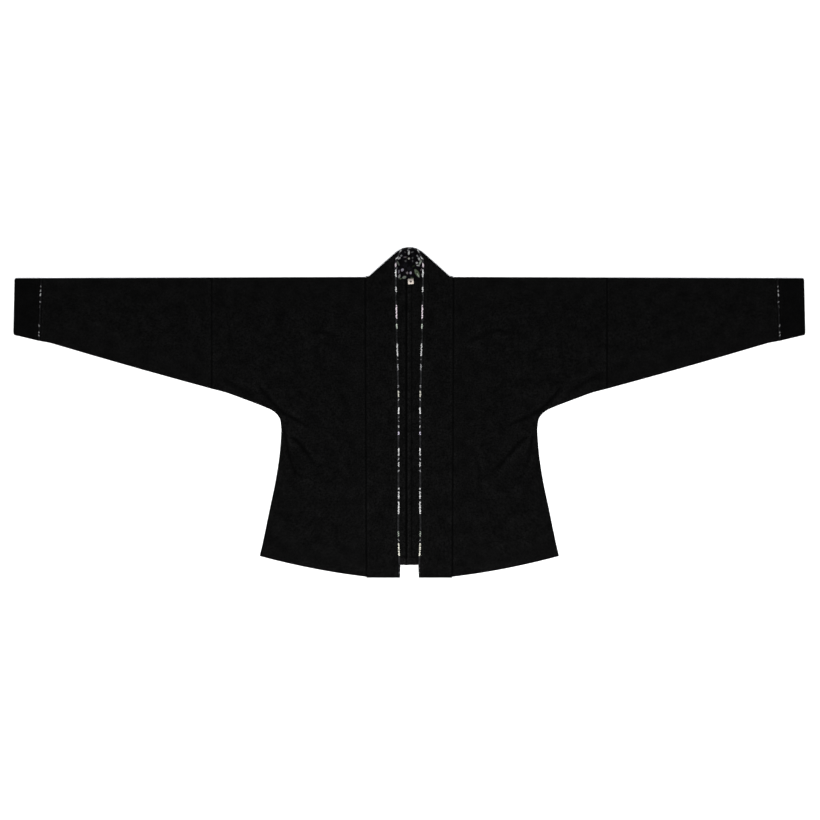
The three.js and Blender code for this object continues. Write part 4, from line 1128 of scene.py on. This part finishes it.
# Painted shade and highlights spread from 0.04 to 1.81, and the painted light falloff runs from 1.12 at the
# hem to 0.93 at the shoulders
blackLook = {
    "colour": (0.00185, 0.00183, 0.00181), "mottlingScale": 38, "mottling": (0.62, 1.42), "speckScale": 300,
    "specks": (0.1, 2.0), "dustScale": 420, "lint": 2.4, "paintedShadingScale": 75, "paintedShadingSpan": (0.6, 1.35),
    "paintedShadingFactor": (0.04, 1.81), "paintedLightFalloff": (1.12, 0.93), "threadPitch": 0.62, "roughness": 0.88, "specular": 0.02,
    "sheen": 0.012, "sheenRoughness": 0.45, "crepeScale": 950, "bump": 0.6,
}
cuffLook = {**blackLook, "colour": (0.00112, 0.00112, 0.00113), "threadPitch": 0.5, "sheen": 0.008,
            "specks": (0.4, 1.6), "lint": 1.6}
# The facing's ground and ink are set darker than the collar piping's: painted shade on the print inside the
# neck
facingLook = {"ground": (0.0009, 0.0008, 0.0011), "groundSpread": (0.3, 2.4), "ink": (0.17, 0.58),
              "ragged": 0.65, "threadPitch": 0.4, "specular": 0.01}
pipingLook = {"ground": (0.009, 0.009, 0.0095), "groundSpread": (0.3, 2.0), "ink": (0.36, 0.92),
              "ragged": 0.6, "threadPitch": 0.4, "specular": 0.04}
cuffPipingLook = {**pipingLook, "ground": (0.0017, 0.0017, 0.0018), "ink": (0.17, 0.38)}
# The label's painted shade runs from 0.58 at its stitched top to 1.6 at its lower end
labelLook = {"colour": (0.275, 0.242, 0.21), "dot": (0.03, 0.018, 0.015), "dotWidth": 5.4, "dotHeight": 4.4,
             "dotDown": 0.4, "paintedCurlShade": (0.58, 1.6), "ribPitch": 0.45}
finishes = {
    "black": clothMaterial("blackCrepe", blackLook),
    "cuff": clothMaterial("cuffCrepe", cuffLook),
    "facing": printMaterial("floralPrint", facingLook),
    "piping": printMaterial("floralPiping", pipingLook),
    "cuffPiping": printMaterial("floralCuffPiping", cuffPipingLook),
    "label": labelMaterial(labelLook),
    "blackThread": threadMaterial("blackThread", (0.0016, 0.0016, 0.0016), 0.6, 0.04),
    "creamThread": threadMaterial("creamThread", (0.3, 0.27, 0.24), 0.55, 0.12),
}
print("materials made")


# Stitches: one is modelled, and its copies lie along each row on the cloth

stitch = {
    "length": 2.5,
    "width": 0.42,
    "height": 0.3,
    "pitch": 3.2,
    "lift": 0.02,
    "bandInset": 2.0,     # from the edging, the cuff's mouth and the turn-up's edge
    "cuffInset": 10.4,
    "hemInset": 1.6,
    "labelPitch": 2.2,
    "labelSize": 0.62,
}


def modelStitch():
    bpy.ops.object.select_all(action="DESELECT")
    bpy.ops.mesh.primitive_uv_sphere_add(segments=6, ring_count=5, radius=0.5, location=(0, 0, 0))
    ball = bpy.context.object
    bpy.ops.object.mode_set(mode="EDIT")
    bpy.ops.mesh.select_all(action="SELECT")
    bpy.ops.transform.rotate(value=math.pi / 2, orient_axis="Y", center_override=(0, 0, 0))
    bpy.ops.transform.resize(value=(stitch["length"], stitch["width"], stitch["height"]))
    bpy.ops.object.mode_set(mode="OBJECT")
    points = np.array([vertex.co for vertex in ball.data.vertices])
    faces = [list(face.vertices) for face in ball.data.polygons]
    bpy.data.objects.remove(ball)
    return points, faces


stitchPoints, stitchFaces = modelStitch()


def surfaceHeight(piece, half, down):  # of its uppermost surface at places in plan
    surface = piece.evaluated_get(bpy.context.evaluated_depsgraph_get())
    found = []
    for across, below in zip(half, down):
        start = Vector((across * mm, (plan["shoulderPlace"] - below) * mm, 1.0))
        hit, place, _, _ = surface.ray_cast(start, Vector((0, 0, -1)))
        found.append(place.z / mm if hit else np.nan)
    return np.array(found)


def stitchRow(name, key, half, down, finish="blackThread", pitch=stitch["pitch"], size=1.0):
    # Copies of the stitch along a path given in plan, laid on the piece
    way = np.concatenate([[0], np.cumsum(np.hypot(np.diff(half), np.diff(down)))])
    middles = np.arange(pitch / 2, way[-1], pitch)
    reach = stitch["length"] * size * 0.4
    ends = [(np.interp(middles + step, way, half), np.interp(middles + step, way, down))
            for step in (-reach, reach)]
    levels = [surfaceHeight(pieces[key], *end) for end in ends]
    points, faces = [], []
    for index in range(len(middles)):
        start, stop = (np.array([end[0][index], plan["shoulderPlace"] - end[1][index], level[index]])
                       for end, level in zip(ends, levels))
        if np.isnan(start[2]) or np.isnan(stop[2]):
            continue
        along = (stop - start) / np.linalg.norm(stop - start)
        side = np.array([-along[1], along[0], 0]) / np.hypot(along[0], along[1])
        axes = np.array([along, side, np.cross(along, side)])
        faces += [[corner + len(points) * len(stitchPoints) for corner in face] for face in stitchFaces]
        points.append((stitchPoints * size) @ axes + (start + stop) / 2 + (0, 0, stitch["lift"]))
    mesh = bpy.data.meshes.new(name)
    mesh.from_pydata((np.concatenate(points) * mm).tolist(), [], faces)
    mesh.shade_smooth()
    mesh.materials.append(finishes[finish])
    row = bpy.data.objects.new(name, mesh)
    bpy.context.scene.collection.objects.link(row)
    print(name, len(points), "stitches")
    return row


rows = {}
for sideName, side in sides.items():
    downs = np.linspace(40, 642, 200)
    halves = np.interp(downs, *frontEdge) + collarEdging["width"] + stitch["bandInset"]
    rows["band" + sideName] = stitchRow("bandStitches" + sideName, "band", side * halves, downs)
    downs = np.linspace(6, 119, 40)
    halves = cuffMouth(downs) - stitch["cuffInset"]
    rows["cuff" + sideName] = stitchRow("cuffStitches" + sideName, "cuff" + sideName, side * halves, downs)
    halves = np.linspace(1.5, 90, 40)
    downs = backHem(halves) - body["turnUp"] + stitch["hemInset"]
    rows["hem" + sideName] = stitchRow("hemStitches" + sideName, "body" + sideName, side * halves, downs)
across = np.linspace(-label["stitchReach"], label["stitchReach"], 20)
rows["label"] = stitchRow("labelStitches", "label", *labelPlan(across, -label["stitchRow"]), "creamThread",
                          stitch["labelPitch"], stitch["labelSize"])


# Each piece rides on the one body, stands for its node and takes its slot's finish

sidedDressing = {  # piece: node, slot, finish
    "body": ("body", "black_cloth", "black"), "sleeve": ("sleeve", "black_cloth", "black"),
    "cuffEdging": ("cuff_edging", "printed_cloth", "cuffPiping"), "cuff": ("cuff", "cuff_cloth", "cuff"),
}
dressing = {key + sideName: (node + "_" + sideName.lower(), slot, finish)
            for key, (node, slot, finish) in sidedDressing.items() for sideName in sides}
dressing.update({
    "band": ("collar_band", "black_cloth", "black"), "edging": ("collar_edging", "printed_cloth", "piping"),
    "facing": ("collar_facing", "printed_cloth", "facing"), "label": ("neck_label", "label_cloth", "label"),
})
for key, (node, slot, finish) in dressing.items():
    piece = pieces[key]
    piece.data.materials.append(finishes[finish])
    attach(piece, "root")
    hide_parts(node)
for key, row in rows.items():
    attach(row, "root")

# Floor, light and camera
studio = {
    "floorSize": 60.0,
    "floorColour": (0.86, 0.86, 0.857),
    "world": (0.92, 0.95, 1.0),
    "worldStrength": 0.5,
    "lens": 135.0,
    "sensorWidth": 36.0,
    "viewWidth": 1.763,
    "viewCentre": (0.0014, 0.0051),
    "clothTop": 0.004,
}
lights = [  # name, kind, place, power, size or the sun's angle
    ("keyLight", "AREA", (0.1, -1.7, 2.3), 100.0, 2.2),
    ("topLight", "AREA", (0.0, 1.1, 3.4), 20.0, 3.0),
    ("sunLight", "SUN", (0.1, -1.7, 2.3), 2.2, math.radians(60.0)),
]
bpy.ops.object.select_all(action="DESELECT")
bpy.ops.mesh.primitive_plane_add(size=studio["floorSize"], location=(0, 0, 0))
floor = bpy.context.object
floor.name = "floor"
floorMaterial, tree = newMaterial("paleFloor", {"Specular IOR Level": 0.2})
place = objectPlace(tree)
floor.data.materials.append(finished(
    floorMaterial, scaled(tree, studio["floorColour"], uneven(tree, place, 60, (0.99, 1.01), 4)),
    uneven(tree, place, 25, (0.78, 0.9))))

for name, kind, place, power, size in lights:
    bpy.ops.object.light_add(type=kind, location=place)
    light = bpy.context.object
    light.name = name
    light.data.energy = power
    setattr(light.data, "angle" if kind == "SUN" else "size", size)
    light.rotation_euler = (-Vector(place)).to_track_quat("-Z", "Y").to_euler()

world = bpy.data.worlds.new("studioWorld")
bpy.context.scene.world = world
world.use_nodes = True
world.node_tree.nodes["Background"].inputs["Color"].default_value = (*studio["world"], 1)
world.node_tree.nodes["Background"].inputs["Strength"].default_value = studio["worldStrength"]
bpy.context.scene.view_settings.view_transform = "Standard"

high = studio["viewWidth"] * studio["lens"] / studio["sensorWidth"] + studio["clothTop"]
bpy.ops.object.camera_add(location=(*studio["viewCentre"], high), rotation=(0, 0, 0))
camera = bpy.context.object
camera.data.lens = studio["lens"]
camera.data.sensor_width = studio["sensorWidth"]
bpy.context.scene.camera = camera
print("floor, light and camera set")
